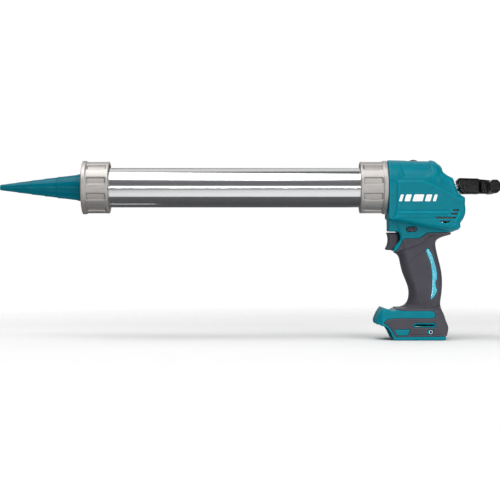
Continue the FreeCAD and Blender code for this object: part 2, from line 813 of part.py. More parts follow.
def speed_dial():
    """Thumb wheel with a notched rim, on the pin of its little circuit board."""
    centre = (d.dial_x, d.dial_height)
    wheel = bar("Y", centre, d.dial_radius, -d.dial_half, d.dial_half)
    notches = []
    for index in range(24):
        turn = 2 * math.pi * index / 24
        notches.append(bar("Y", (d.dial_x + (d.dial_radius + 0.3) * math.cos(turn),
                                 d.dial_height + (d.dial_radius + 0.3) * math.sin(turn)),
                           0.8, -6.0, 6.0))
    hole = bar("Y", centre, 2.05, -6.0, 6.0)
    node("speed_dial", cut(wheel, hole, *notches))
    board = block((-19.0, 3.0), (6.4, 8.0), (222.5, 238.0))
    pot = block((-15.5, -2.5), (5.0, 6.4), (226.5, 238.0))
    node("dial_board", fuse(board, pot, bar("Y", centre, 2.0, -4.5, 6.0)))


def controller():
    """Motor controller in the foot, above the battery bay."""
    top = d.board_low + d.board_thickness
    parts = [block((-44.0, 16.0), (-24.0, 24.0), (d.board_low, top))]
    for front, side in ((-38.0, -14.0), (-20.0, -14.0), (-38.0, 4.0)):
        parts.append(block((front, front + 12.0), (side, side + 11.0), (top, top + 5.9)))
    parts.append(bar("Z", (-12.0, 10.0), 5.0, top, top + 9.4))
    node("controller_board", fuse(*parts))


def terminals():
    """Terminal block at the back of the bay and its three forward blades."""
    case = block((d.terminal_front, d.terminal_back), (-d.terminal_half, d.terminal_half),
                 (d.terminal_low, d.terminal_high))
    levels = (d.blade_low, d.blade_high)
    half = d.blade_thickness / 2
    spots = [d.blade_pitch * step for step in (-1, 0, 1)]
    slots = [block((d.terminal_front - 1, d.blade_back), (spot - half, spot + half), levels)
             for spot in spots]
    blades = [block((d.blade_front, d.blade_back), (spot - half, spot + half), levels)
              for spot in spots]
    node("terminal_block", cut(case, *slots))
    node("terminal_blades", fuse(*blades))


def wire_run(points, radius):
    """A wire along straight runs joined by tangent arcs."""
    points = [V(*point) for point in points]
    edges = []
    start = points[0]
    for before, corner, after in zip(points, points[1:], points[2:]):
        back, ahead = (before - corner), (after - corner)
        turn = math.pi - back.getAngle(ahead)
        trim = 0.45 * min(back.Length, ahead.Length)
        bend = trim / math.tan(turn / 2)
        enter = corner + back.normalize() * trim
        leave = corner + ahead.normalize() * trim
        inward = (back + ahead).normalize()
        middle = corner + inward * (bend / math.cos(turn / 2) - bend)
        edges.append(Part.LineSegment(start, enter).toShape())
        edges.append(Part.Arc(enter, middle, leave).toShape())
        start = leave
    edges.append(Part.LineSegment(start, points[-1]).toShape())
    path = Part.Wire(edges)
    direction = points[1] - points[0]
    section = Part.Wire([Part.makeCircle(radius, points[0], direction)])
    return path.makePipeShell([section], True, True)


def wires():
    """Supply leads up the grip, and motor leads from the switch up to the motor."""
    supply = [wire_run([(-2.0, across, 28.5), (-2.0, across, 44), (6, across, 62),
                        (6, across, 92), (-3, across, 106), (-3, across, 118.3)], 1.3)
              for across in (-3.2, 3.2)]
    motor = [wire_run([(6, across, 143.6), (6, across, 150), (13, across, 156),
                       (23, across, 156.5), (29.5, across, 160)], 1.2)
             for across in (-3.2, 3.2)]
    node("supply_wires", made(Part.makeCompound(supply)))
    node("motor_wires", made(Part.makeCompound(motor)))


# ---------------------------------------------------------------- motor and reduction gear


def motor():
    outer = d.motor_outer / 2
    front, back = d.motor_front, d.motor_back
    shell = cut(bar("Y", MOTOR, outer, front, back),
                bar("Y", MOTOR, outer - 1.5, front + 2, back + 1),
                bar("Y", MOTOR, 3.0, front - 1, front + 3))
    node("motor_can", shell)
    magnets = cut(tube("Y", MOTOR, outer - 1.6, outer - 5.0, front + 5, back - 6),
                  block((d.motor_x - 6, d.motor_x + 6), (front, back),
                        (d.motor_height - 20, d.motor_height + 20)))
    node("motor_magnets", magnets)
    node("motor_endbell", cut(
        fuse(bar("Y", MOTOR, outer, back, back + 2.5), bar("Y", MOTOR, 6.0, back, back + 4),
             bar("Y", MOTOR, outer - 1.6, back - 3, back)),
        bar("Y", MOTOR, 2.05, back - 4, back + 5), bar("Y", MOTOR, 10.0, back - 4, back - 0.5)))
    node("motor_rotor", fuse(
        bar("Y", MOTOR, 2.0, d.ring_gear_front + 1, back + 3.4),
        bar("Y", MOTOR, outer - 6, front + 5, back - 8),
        bar("Y", MOTOR, 6.0, back - 8, back - 1.5)))
    pinion = gear_solid(d.sun_teeth, d.sun_module, math.pi / 2, d.ring_gear_front + 1.6,
                        d.ring_gear_back + 0.4, MOTOR)
    shaft_hole = Part.makeCylinder(2.0, 40, V(float(d.motor_x), -30, float(d.motor_height)),
                                   V(0, 1, 0))
    node("motor_pinion", made(pinion.cut(shaft_hole)))


def planet_centres():
    reach = float(d.sun_module) * (float(d.sun_teeth) + float(d.planet_teeth)) / 2
    for index, name in enumerate("abc"):
        turn = math.pi / 2 + index * 2 * math.pi / 3
        yield name, turn, (d.motor_x + reach * math.cos(turn),
                           d.motor_height + reach * math.sin(turn))


def planetary_stage():
    """Sun, three planets and a fixed ring gear; the carrier bears the drive pinion."""
    low, high = d.ring_gear_front + 1.6, d.ring_gear_back - 2
    half_step = math.pi / float(d.planet_teeth)
    for name, turn, centre in planet_centres():
        planet = gear_solid(d.planet_teeth, d.sun_module, turn + half_step, low, high, centre)
        hole = Part.makeCylinder(float(d.carrier_pin) / 2 + 0.05, 40,
                                 V(float(centre[0]), -30, float(centre[1])), V(0, 1, 0))
        node(f"planet_gear_{name}", made(planet.cut(hole)))
    teeth = gear_solid(d.ring_gear_teeth, d.sun_module,
                       math.pi / 2 + math.pi / float(d.ring_gear_teeth),
                       d.ring_gear_front - 1, d.ring_gear_back + 1, MOTOR, inside=True)
    band = Part.makeCylinder(float(d.motor_outer) / 2,
                             float(d.ring_gear_back - d.ring_gear_front),
                             V(float(d.motor_x), float(d.ring_gear_front),
                               float(d.motor_height)), V(0, 1, 0))
    node("ring_gear", made(band.cut(teeth)))
    pins = [bar("Y", centre, d.carrier_pin / 2, d.ring_gear_front, high + 0.2)
            for _, _, centre in planet_centres()]
    disc = cut(bar("Y", MOTOR, 12.5, d.final_face + 0.7, d.ring_gear_front + 1),
               bar("Y", MOTOR, 2.4, d.ring_gear_front, d.ring_gear_front + 2))
    facing = math.atan2(float(SHAFT_HEIGHT - d.motor_height), float(d.rack_centre - d.motor_x))
    teeth = made(gear_solid(d.drive_teeth, d.final_module, facing, d.final_back,
                            d.final_face + 0.7, MOTOR))
    stub = bar("Y", MOTOR, 3.0, d.final_back - 1.8, d.final_back)
    node("planet_carrier", fuse(disc, teeth, stub, *pins))


def output_stage():
    """Final gear, slip clutch, shaft with the rack pinion, and its two bearings."""
    facing = math.atan2(float(d.motor_height - SHAFT_HEIGHT), float(d.motor_x - d.rack_centre))
    half_step = math.pi / float(d.final_teeth)
    wheel = gear_solid(d.final_teeth, d.final_module, facing + half_step, d.final_back,
                       d.final_face, SHAFT)
    bore = Part.makeCylinder(5.05, 40, V(float(SHAFT[0]), -40, float(SHAFT[1])), V(0, 1, 0))
    node("output_gear", made(wheel.cut(bore)))
    node("friction_disc", tube("Y", SHAFT, 13.0, 5.0, d.final_face, d.final_face + 1.6))
    shaft_radius = d.shaft_diameter / 2
    pinion = made(gear_solid(d.pinion_teeth, d.rack_module, math.pi / 2, -d.pinion_half,
                             d.pinion_half, SHAFT))
    face = d.final_face + 1.6
    node("output_shaft", fuse(
        pinion,
        bar("Y", SHAFT, shaft_radius, d.final_back - 3.4, d.bearing_inner_face + 6),
        bar("Y", SHAFT, 5.4, -d.bearing_inner_face, d.bearing_inner_face),
        bar("Y", SHAFT, 5.0, d.final_back, face), bar("Y", SHAFT, 11.5, face, face + 2)))
    near, far = d.bearing_inner_face, d.bearing_inner_face + d.bearing_width
    for name, side in SIDES.items():
        span = (near, far) if side > 0 else (-far, -near)
        node(f"bearing_{name}", tube("Y", SHAFT, d.bearing_outer / 2, shaft_radius, *span))
    back = d.final_back
    node("clutch_spring", tube("Y", SHAFT, 8.0, shaft_radius, back - 1.3, back))
    node("clutch_nut", tube("Y", SHAFT, 7.0, shaft_radius, back - 3.3, back - 1.3))


def link(radius_a, radius_b, low, high):
    """A plate around the output shaft and the motor line, joined by a straight web."""
    ax, az = float(SHAFT[0]), float(SHAFT[1])
    bx, bz = float(d.motor_x), float(d.motor_height)
    length = math.hypot(bx - ax, bz - az)
    base = math.atan2(bz - az, bx - ax)
    lean = math.acos((float(radius_a) - float(radius_b)) / length)
    corners = [(x + float(radius) * math.cos(base + side * lean),
                z + float(radius) * math.sin(base + side * lean))
               for side, ends in ((1, ((ax, az, radius_a), (bx, bz, radius_b))),
                                  (-1, ((bx, bz, radius_b), (ax, az, radius_a))))
               for x, z, radius in ends]
    return fuse(pad(corners, low, high), bar("Y", SHAFT, radius_a, low, high),
                bar("Y", MOTOR, radius_b, low, high))


CASE_SCREW_TURNS = (62, 118, 165, 215, 262)
CASE_SCREW_REACH = 30.6


def case_screw_places():
    """Screws on the ears around the output gear."""
    for degrees in CASE_SCREW_TURNS:
        turn = math.radians(degrees)
        yield (d.rack_centre + CASE_SCREW_REACH * math.cos(turn),
               SHAFT_HEIGHT + CASE_SCREW_REACH * math.sin(turn))


def case_ears(low, high):
    return [bar("Y", centre, d.case_ear / 2, low, high) for centre in case_screw_places()]


def gear_case():
    """Die-cast case: rod tunnel, pinion pocket, bearing seats and ring-gear cup."""
    axis = d.axis_height
    front = d.adapter_back
    frame = block((front, 29.0), (-13.0, 13.0), (axis - 27, axis + 9))
    flange = bar("X", ACROSS, 21.5, front, front + 5)
    cup = bar("Y", MOTOR, 20.5, d.ring_gear_front, d.motor_front)
    plate = link(28.3, 20.5, d.ring_gear_front, d.ring_gear_front + 3)
    solid = fuse(frame, flange, cup, plate,
                 *case_ears(d.ring_gear_front, d.ring_gear_front + 3))
    far = d.bearing_inner_face + d.bearing_width
    tools = [
        bar("X", ACROSS, 6.0, -60.0, 60.0),
        bar("Y", SHAFT, 13.4, -5.6, 5.6),
        block((d.rack_centre - 13.4, d.rack_centre + 13.4), (-5.6, 5.6),
              (axis - 30, SHAFT_HEIGHT)),
        bar("Y", SHAFT, d.bearing_outer / 2, -far, far),
        bar("Y", SHAFT, 12.0, d.ring_gear_front - 1, -far),
        bar("Y", MOTOR, d.motor_outer / 2 + 0.3, d.motor_front, 20.0),
        bar("Y", MOTOR, d.motor_outer / 2, d.ring_gear_front - 1, d.ring_gear_back),
        bar("Y", MOTOR, 5.0, d.ring_gear_back - 1, d.motor_front + 1),
        bar("Y", SHAFT, 9.0, 12.0, 22.0),
    ]
    for side in (-1, 1):
        tools.append(bar("Y", (d.motor_x + 9 * side, d.motor_height), 1.5,
                         d.ring_gear_back - 1, d.motor_front + 1))
    for centre in adapter_screw_places():
        tools.append(bar("X", centre, d.adapter_screw / 2, front - 1, front + 4))
    for centre in case_screw_places():
        tools.append(bar("Y", centre, d.case_screw / 2, d.ring_gear_front - 1,
                         d.ring_gear_front + 3))
    node("gear_case", cut(solid, *tools))


def gear_cover():
    """Cover over the final gear pair, with a bulge for the clutch nut."""
    mouth = d.ring_gear_front
    outer = fuse(link(28.3, 20.5, -31.0, mouth), bar("Y", SHAFT, 12.0, -33.8, mouth))
    inner = fuse(link(26.6, 14.0, -29.2, mouth + 1), bar("Y", SHAFT, 9.6, -32.4, mouth + 1),
                 bar("Y", MOTOR, 3.05, -30.4, mouth))
    shank = d.case_screw / 2
    holes = [bar("Y", centre, shank, -40.0, mouth + 1) for centre in case_screw_places()]
    body = fuse(outer, *case_ears(mouth - 3, mouth))
    node("gear_cover", cut(body, inner, *holes))
    screws = []
    for centre in case_screw_places():
        screws.append(bar("Y", centre, shank, mouth - 3, mouth + 2.8))
        screws.append(bar("Y", centre, d.case_screw_head / 2, mouth - 4.4, mouth - 3))
    node("gear_case_screws", fuse(*screws))
    node("motor_screws", fuse(*[
        item for side in (-1, 1) for item in (
            bar("Y", (d.motor_x + 9 * side, d.motor_height), 1.5, d.ring_gear_back,
                d.motor_front),
            bar("Y", (d.motor_x + 9 * side, d.motor_height), 2.6, d.ring_gear_back - 1.4,
                d.ring_gear_back))]))


# ---------------------------------------------------------------- assembly

holder_tube()
thread_sleeve("thread_sleeve_front", d.tube_front)
thread_sleeve("thread_sleeve_rear", d.tube_rear - d.sleeve_length)
union_ring("front_ring", d.front_ring_face, 1, d.front_ring_hole)
union_ring("rear_ring", d.rear_ring_face, -1, d.rear_ring_hole)
nozzle()
front_adapter()
push_rod()
piston()
rod_handle()
rod_bushes()
for name, side in SIDES.items():
    housing(f"housing_{name}", side)
    grip_cover(f"grip_{name}", side)
housing_screws()
belt_hook_inserts()
trigger()
lock_off_button()
speed_dial()
controller()
terminals()
wires()
motor()
planetary_stage()
output_stage()
gear_case()
gear_cover()
doc.recompute()

# ---------------------------------------------------------------- checks and export

for item in doc.Objects:
    if "Invalid" in item.State or "Error" in item.State:
        raise RuntimeError(f"{item.Name} ({item.Label}) did not compute: {item.State}")
for item in nodes:
    if item.Shape.isNull() or not item.Shape.isValid():
        raise RuntimeError(f"{item.Label} has a bad shape")

os.makedirs("parts", exist_ok=True)
for item in nodes:
    item.Shape.exportStep(f"parts/{item.Label}.step")
    print(f"{item.Label:22s} solids {len(item.Shape.Solids)}  volume {item.Shape.Volume:10.0f}")
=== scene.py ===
import json
import math

import bmesh
import bpy
import numpy as np
import openvdb
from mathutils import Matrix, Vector


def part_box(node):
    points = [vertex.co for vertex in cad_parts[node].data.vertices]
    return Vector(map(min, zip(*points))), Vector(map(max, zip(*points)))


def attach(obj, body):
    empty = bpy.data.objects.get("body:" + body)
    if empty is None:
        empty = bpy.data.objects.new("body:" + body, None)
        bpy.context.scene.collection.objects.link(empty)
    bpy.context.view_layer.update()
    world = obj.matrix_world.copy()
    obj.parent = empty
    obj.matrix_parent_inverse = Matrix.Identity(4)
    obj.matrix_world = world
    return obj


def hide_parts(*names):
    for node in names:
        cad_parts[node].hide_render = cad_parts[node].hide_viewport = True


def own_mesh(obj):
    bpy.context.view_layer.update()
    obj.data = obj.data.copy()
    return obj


# Looks for a cordless caulking gun. Lengths are millimetres in the CAD frame unless said otherwise;
# meshes are scaled to metres as they are made.

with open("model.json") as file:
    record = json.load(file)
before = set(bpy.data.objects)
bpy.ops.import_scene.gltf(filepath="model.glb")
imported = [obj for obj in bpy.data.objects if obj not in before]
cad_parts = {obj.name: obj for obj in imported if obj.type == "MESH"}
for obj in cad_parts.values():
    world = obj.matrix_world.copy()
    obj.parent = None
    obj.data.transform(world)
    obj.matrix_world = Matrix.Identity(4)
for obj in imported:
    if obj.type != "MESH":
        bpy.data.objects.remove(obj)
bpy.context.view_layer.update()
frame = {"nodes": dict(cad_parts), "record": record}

MM = 0.001


def node_box(name):
    """A CAD node's lowest and highest corners, in millimetres."""
    low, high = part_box(name)
    return np.array(low) / MM, np.array(high) / MM


def middle(name):
    low, high = node_box(name)
    return (low + high) / 2


# ---------------------------------------------------------------- places taken from the frame

TUBE_LOW, TUBE_HIGH = node_box("holder_tube")
AXIS = float((TUBE_LOW[2] + TUBE_HIGH[2]) / 2)
HOUSING_LOW, HOUSING_HIGH = node_box("housing_left")
HOUSING_FRONT = float(node_box("rear_ring")[1][0]) + 0.5
BODY_RADIUS = float(-HOUSING_LOW[1])
FOOT_HALF = float(-node_box("grip_left")[0][1])
DIAL = middle("speed_dial")
LOCK = middle("lock_off_button")
INSERT = middle("hook_insert_left")
INSERT_RADIUS = float(INSERT[0] - node_box("hook_insert_left")[0][0])
NOZZLE_LOW, NOZZLE_HIGH = node_box("nozzle")
SCREW_SEAT = 12.0


# ---------------------------------------------------------------- colours and node helpers


def srgb(red, green, blue):
    """A display colour, 0 to 255, as linear values."""
    def linear(value):
        value /= 255
        return value / 12.92 if value <= 0.04045 else ((value + 0.055) / 1.055) ** 2.4
    return (linear(red), linear(green), linear(blue), 1.0)


class Shader:
    """A material being wired: a Principled shader with object coordinates."""

    def __init__(self, name, colour, roughness, metallic=0.0, **sockets):
        self.material = bpy.data.materials.new(name)
        self.material.use_nodes = True
        self.tree = self.material.node_tree
        self.shader = self.tree.nodes["Principled BSDF"]
        self.colour = colour
        self.shader.inputs["Base Color"].default_value = colour
        self.shader.inputs["Roughness"].default_value = roughness
        self.shader.inputs["Metallic"].default_value = metallic
        for socket, value in sockets.items():
            self.shader.inputs[socket.replace("_", " ")].default_value = value
        self.coordinates = self.tree.nodes.new("ShaderNodeTexCoord").outputs["Object"]
        self.normal = None

    def add(self, kind, **inputs):
        made = self.tree.nodes.new(kind)
        for name, value in inputs.items():
            socket = made.inputs[name.replace("_", " ")]
            if isinstance(value, bpy.types.NodeSocket):
                self.tree.links.new(value, socket)
            else:
                socket.default_value = value
        return made

    def stretched(self, scale):
        """Coordinates scaled by a different amount on each axis."""
        return self.add("ShaderNodeMapping", Vector=self.coordinates, Scale=scale).outputs["Vector"]

    def noise(self, scale, detail=3.0, roughness=0.6, stretch=None):
        vector = self.stretched(stretch) if stretch else self.coordinates
        return self.add("ShaderNodeTexNoise", Vector=vector, Scale=scale, Detail=detail,
                        Roughness=roughness).outputs["Fac"]

    def cells(self, scale):
        return self.add("ShaderNodeTexVoronoi", Vector=self.coordinates, Scale=scale).outputs["Distance"]

    def ramp(self, value, stops):
        """Map a value through colour stops of (place, colour)."""
        made = self.add("ShaderNodeValToRGB", Fac=value)
        elements = made.color_ramp.elements
        for element, (place, colour) in zip(elements, stops):
            element.position, element.color = place, colour
        for place, colour in stops[2:]:
            elements.new(place).color = colour
        return made.outputs["Color"]

    def mottle(self, value, low=0.9, high=1.08, start=0.3, stop=0.7):
        """Vary the base colour between two brightnesses of itself."""
        dark = tuple(min(c * low, 1) for c in self.colour[:3]) + (1.0,)
        light = tuple(min(c * high, 1) for c in self.colour[:3]) + (1.0,)
        self.paint(self.ramp(value, [(start, dark), (stop, light)]))

    def paint(self, colour):
        self.tree.links.new(colour, self.shader.inputs["Base Color"])

    def rough(self, value, low, high):
        """Vary the roughness between two values."""
        made = self.add("ShaderNodeMapRange", Value=value, To_Min=low, To_Max=high)
        self.tree.links.new(made.outputs["Result"], self.shader.inputs["Roughness"])

    def bump(self, value, distance, strength=1.0):
        """Add a height map; several of them stack."""
        made = self.add("ShaderNodeBump", Height=value, Distance=distance, Strength=strength)
        if self.normal:
            self.tree.links.new(self.normal, made.inputs["Normal"])
        self.normal = made.outputs["Normal"]
        self.tree.links.new(self.normal, self.shader.inputs["Normal"])

    def edges(self, crease, ridge_highlight, spread=0.045):
        """Painted shade and highlight: darken creases and lighten ridges, by factors of the base colour.
        """
        geometry = self.tree.nodes.new("ShaderNodeNewGeometry")
        # pointiness under 0.5 marks a crease and gets painted shade; over 0.5 marks a ridge and gets a
        # painted highlight
        level = self.add("ShaderNodeMapRange", Value=geometry.outputs["Pointiness"],
                         From_Min=0.5 - spread, From_Max=0.5 + spread, To_Min=-1.0, To_Max=1.0)
        up = self.add("ShaderNodeMapRange", Value=level.outputs["Result"], To_Min=1.0, To_Max=ridge_highlight)
        crease_shade = self.add("ShaderNodeMapRange", Value=level.outputs["Result"], From_Min=-1.0,
                        From_Max=0.0, To_Min=crease, To_Max=1.0)
        both = self.tree.nodes.new("ShaderNodeMath")
        both.operation = "MULTIPLY"
        self.tree.links.new(up.outputs["Result"], both.inputs[0])
        self.tree.links.new(crease_shade.outputs["Result"], both.inputs[1])
        base = self.shader.inputs["Base Color"]
        shaded = self.tree.nodes.new("ShaderNodeVectorMath")
        shaded.operation = "SCALE"
        self.tree.links.new(base.links[0].from_socket, shaded.inputs[0])
        self.tree.links.new(both.outputs["Value"], shaded.inputs["Scale"])
        self.paint(shaded.outputs["Vector"])


# ---------------------------------------------------------------- materials


def moulded(name, colour, roughness, grain=0.00005, crease=0.6, ridge_highlight=1.4, **sockets):
    """Spark-textured moulded plastic."""
    made = Shader(name, colour, roughness, **sockets)
    made.mottle(made.noise(60, 4), 0.94, 1.06)
    # painted shade in creases and painted highlight on ridges
    made.edges(crease, ridge_highlight)
    made.rough(made.noise(240, 3), roughness - 0.06, roughness + 0.08)
    made.bump(made.noise(1900, 2, 0.7), grain)
    made.bump(made.cells(1300), grain * 0.5)
    return made.material


def soft_touch(name, colour):
    """Matt overmoulded elastomer."""
    made = Shader(name, colour, 0.5, Specular_IOR_Level=0.35, Sheen_Weight=0.08, Sheen_Roughness=0.4)
    made.mottle(made.noise(45, 5), 0.88, 1.12)
    # painted shade in creases and painted highlight on ridges
    made.edges(0.55, 1.5)
    made.rough(made.noise(300, 4), 0.42, 0.6)
    made.bump(made.cells(1500), 0.00006)
    made.bump(made.noise(2600, 2), 0.00004)
    return made.material


def cast_metal(name, colour):
    """Satin die casting with a fine grit-blasted skin."""
    made = Shader(name, colour, 0.46, 0.82)
    speckle = made.noise(1500, 3, 0.8)
    made.mottle(speckle, 0.84, 1.08, 0.35, 0.65)
    # painted shade in creases and painted highlight on ridges
    made.edges(0.55, 1.15)
    made.rough(made.noise(420, 4), 0.38, 0.58)
    made.bump(speckle, 0.00012)
    made.bump(made.noise(90, 3), 0.0002, 0.5)
    return made.material


def extruded(name, colour):
    """Bright drawn tube with fine lines along its length."""
    made = Shader(name, colour, 0.16, 1.0)
    lines = made.noise(1.0, 3, 0.6, stretch=(2, 700, 700))
    broad = made.noise(1.0, 2, 0.5, stretch=(1.5, 120, 120))
    made.mottle(lines, 0.96, 1.02)
    made.rough(broad, 0.10, 0.18)
    made.bump(lines, 0.000001)
    made.bump(made.noise(900, 2), 0.0000008)
    return made.material


def machined(name, colour, roughness, stretch=(60, 1400, 60), metallic=1.0):
    """Turned or ground metal with fine tool lines."""
    made = Shader(name, colour, roughness, metallic)
    lines = made.noise(1.0, 4, 0.7, stretch=stretch)
    made.mottle(lines, 0.85, 1.08)
    made.rough(made.noise(260, 3), roughness - 0.06, roughness + 0.10)
    made.bump(lines, 0.00003)
    return made.material


def winding(name):
    """Enamelled wire wound round the rotor's teeth."""
    made = Shader(name, srgb(184, 96, 54), 0.3, 0.9, Coat_Weight=0.5)
    wave = made.add("ShaderNodeTexWave", Vector=made.coordinates, Scale=420.0, Distortion=1.2)
    made.mottle(wave.outputs["Fac"], 0.55, 1.15, 0.1, 0.8)
    made.bump(wave.outputs["Fac"], 0.0003)
    return made.material


def circuit_board(name):
    """Green lacquer over copper tracks."""
    made = Shader(name, srgb(22, 92, 58), 0.35, Coat_Weight=0.4)
    brick = made.add("ShaderNodeTexBrick", Vector=made.coordinates, Scale=260.0, Mortar_Size=0.03,
                     Color1=srgb(18, 84, 52), Color2=srgb(28, 104, 66), Mortar=srgb(60, 132, 84))
    made.paint(brick.outputs["Color"])
    made.bump(brick.outputs["Fac"], 0.00005)
    made.bump(made.noise(900), 0.00002)
    return made.material


def insulation(name, colour):
    """Extruded wire insulation."""
    made = Shader(name, colour, 0.42)
    made.mottle(made.noise(180, 3), 0.85, 1.1)
    made.bump(made.noise(1200, 2), 0.00003)
    return made.material


def floor_paper(name):
    """Pale matt studio paper that fades into the white backdrop away from the object."""
    fade_start, fade_end = 0.25, 1.35
    made = Shader(name, (0.93, 0.93, 0.93, 1.0), 0.9, Specular_IOR_Level=0.1)
    made.mottle(made.noise(40, 3), 0.985, 1.0)
    made.bump(made.noise(500, 2), 0.00002)
    spread = made.add("ShaderNodeVectorMath", Vector=made.coordinates)
    spread.operation = "LENGTH"
    fade = made.add("ShaderNodeMapRange", Value=spread.outputs["Value"], From_Min=fade_start,
                    From_Max=fade_end, To_Min=1.0, To_Max=0.0)
    fade.interpolation_type = "SMOOTHSTEP"
    made.tree.links.new(fade.outputs["Result"], made.shader.inputs["Alpha"])
    return made.material


TEAL = srgb(0, 120, 136)
MATERIALS = {
    "teal_housing": moulded("teal_housing", TEAL, 0.3, 0.000012, Specular_IOR_Level=0.1),
    "teal_gloss": moulded("teal_gloss", srgb(60, 176, 198), 0.2, 0.000005, Coat_Weight=1.0,
                          Coat_Roughness=0.12),
    "teal_nozzle": moulded("teal_nozzle", srgb(0, 102, 119), 0.1, 0.0000003, Specular_IOR_Level=0.1),
    "grey_overmould": soft_touch("grey_overmould", srgb(64, 62, 71)),
    "dark_plastic": moulded("dark_plastic", srgb(64, 61, 70), 0.38, Specular_IOR_Level=0.3),
    # ridge_highlight sets how bright the painted highlight on this plastic's edges is
    "black_plastic": moulded("black_plastic", srgb(11, 11, 13), 0.16, 0.000002, ridge_highlight=1.5,
                             Specular_IOR_Level=0.2),
    "cast_ring": cast_metal("cast_ring", srgb(186, 182, 179)),
    "barrel_aluminium": extruded("barrel_aluminium", srgb(228, 229, 230)),
    "rod_steel": machined("rod_steel", srgb(188, 188, 190), 0.24, (900, 60, 60)),
    "gear_steel": machined("gear_steel", srgb(164, 162, 160), 0.32),
    "case_aluminium": cast_metal("case_aluminium", srgb(176, 176, 178)),
    "screw_steel": machined("screw_steel", srgb(58, 58, 62), 0.36),
    "brass": machined("brass", srgb(206, 176, 106), 0.28),
    "bronze_bush": machined("bronze_bush", srgb(132, 112, 88), 0.42),
    "white_acetal": moulded("white_acetal", srgb(226, 226, 220), 0.34, Subsurface_Weight=0.05),
    "circuit_board": circuit_board("circuit_board"),
    "magnet": moulded("magnet", srgb(58, 57, 58), 0.55, 0.00008),
    "copper_winding": winding("copper_winding"),
    "red_wire": insulation("red_wire", srgb(168, 34, 30)),
    "black_wire": insulation("black_wire", srgb(30, 30, 32)),
    "mark_white": moulded("mark_white", srgb(240, 240, 238), 0.4, 0.00002),
}


# ---------------------------------------------------------------- mesh helpers


def finish_piece(name, mesh, body, material, replaced=(), crease=35):
    """Make an object from a mesh, give it its finish and fix it to a CAD body."""
    mesh.materials.append(MATERIALS[material])
    mesh.shade_smooth()
    if crease:
        mesh.set_sharp_from_angle(angle=math.radians(crease))
    piece = bpy.data.objects.new(name, mesh)
    bpy.context.scene.collection.objects.link(piece)
    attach(piece, body)
    if replaced:
        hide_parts(*replaced)
    return piece


def mesh_from(name, points, faces):
    mesh = bpy.data.meshes.new(name)
    mesh.from_pydata([tuple(point) for point in points], [], faces)
    mesh.update()
    return mesh


def lathe(name, profile, around, along="X", turns=128, radius_at=None):
    """Revolve a closed profile of (place along the axis, radius) points."""
    ring = len(profile)
    angles = np.arange(turns) * (2 * math.pi / turns)
    points = []
    for angle in angles:
        for place, radius in profile:
            if radius_at:
                radius = radius_at(place, radius, angle)
            side, up = radius * math.sin(angle), radius * math.cos(angle)
            if along == "X":
                point = (around[0] + place, around[1] + side, around[2] + up)
            else:
                point = (around[0] + side, around[1] + place, around[2] + up)
            points.append([value * MM for value in point])
    faces = []
    for turn in range(turns):
        following = (turn + 1) % turns
        for spot in range(ring):
            after = (spot + 1) % ring
            faces.append((turn * ring + spot, turn * ring + after,
                          following * ring + after, following * ring + spot))
    mesh = mesh_from(name, points, faces)
    fix_direction(mesh)
    return mesh


def fix_direction(mesh):
    """Turn every face outward if the mesh is inside out, and drop doubled points."""
    work = bmesh.new()
    work.from_mesh(mesh)
    bmesh.ops.remove_doubles(work, verts=work.verts, dist=1e-7)
    bmesh.ops.recalc_face_normals(work, faces=work.faces)
    if work.calc_volume(signed=True) < 0:
        bmesh.ops.reverse_faces(work, faces=work.faces)
    work.to_mesh(mesh)
    work.free()


# ---------------------------------------------------------------- distance fields on a grid


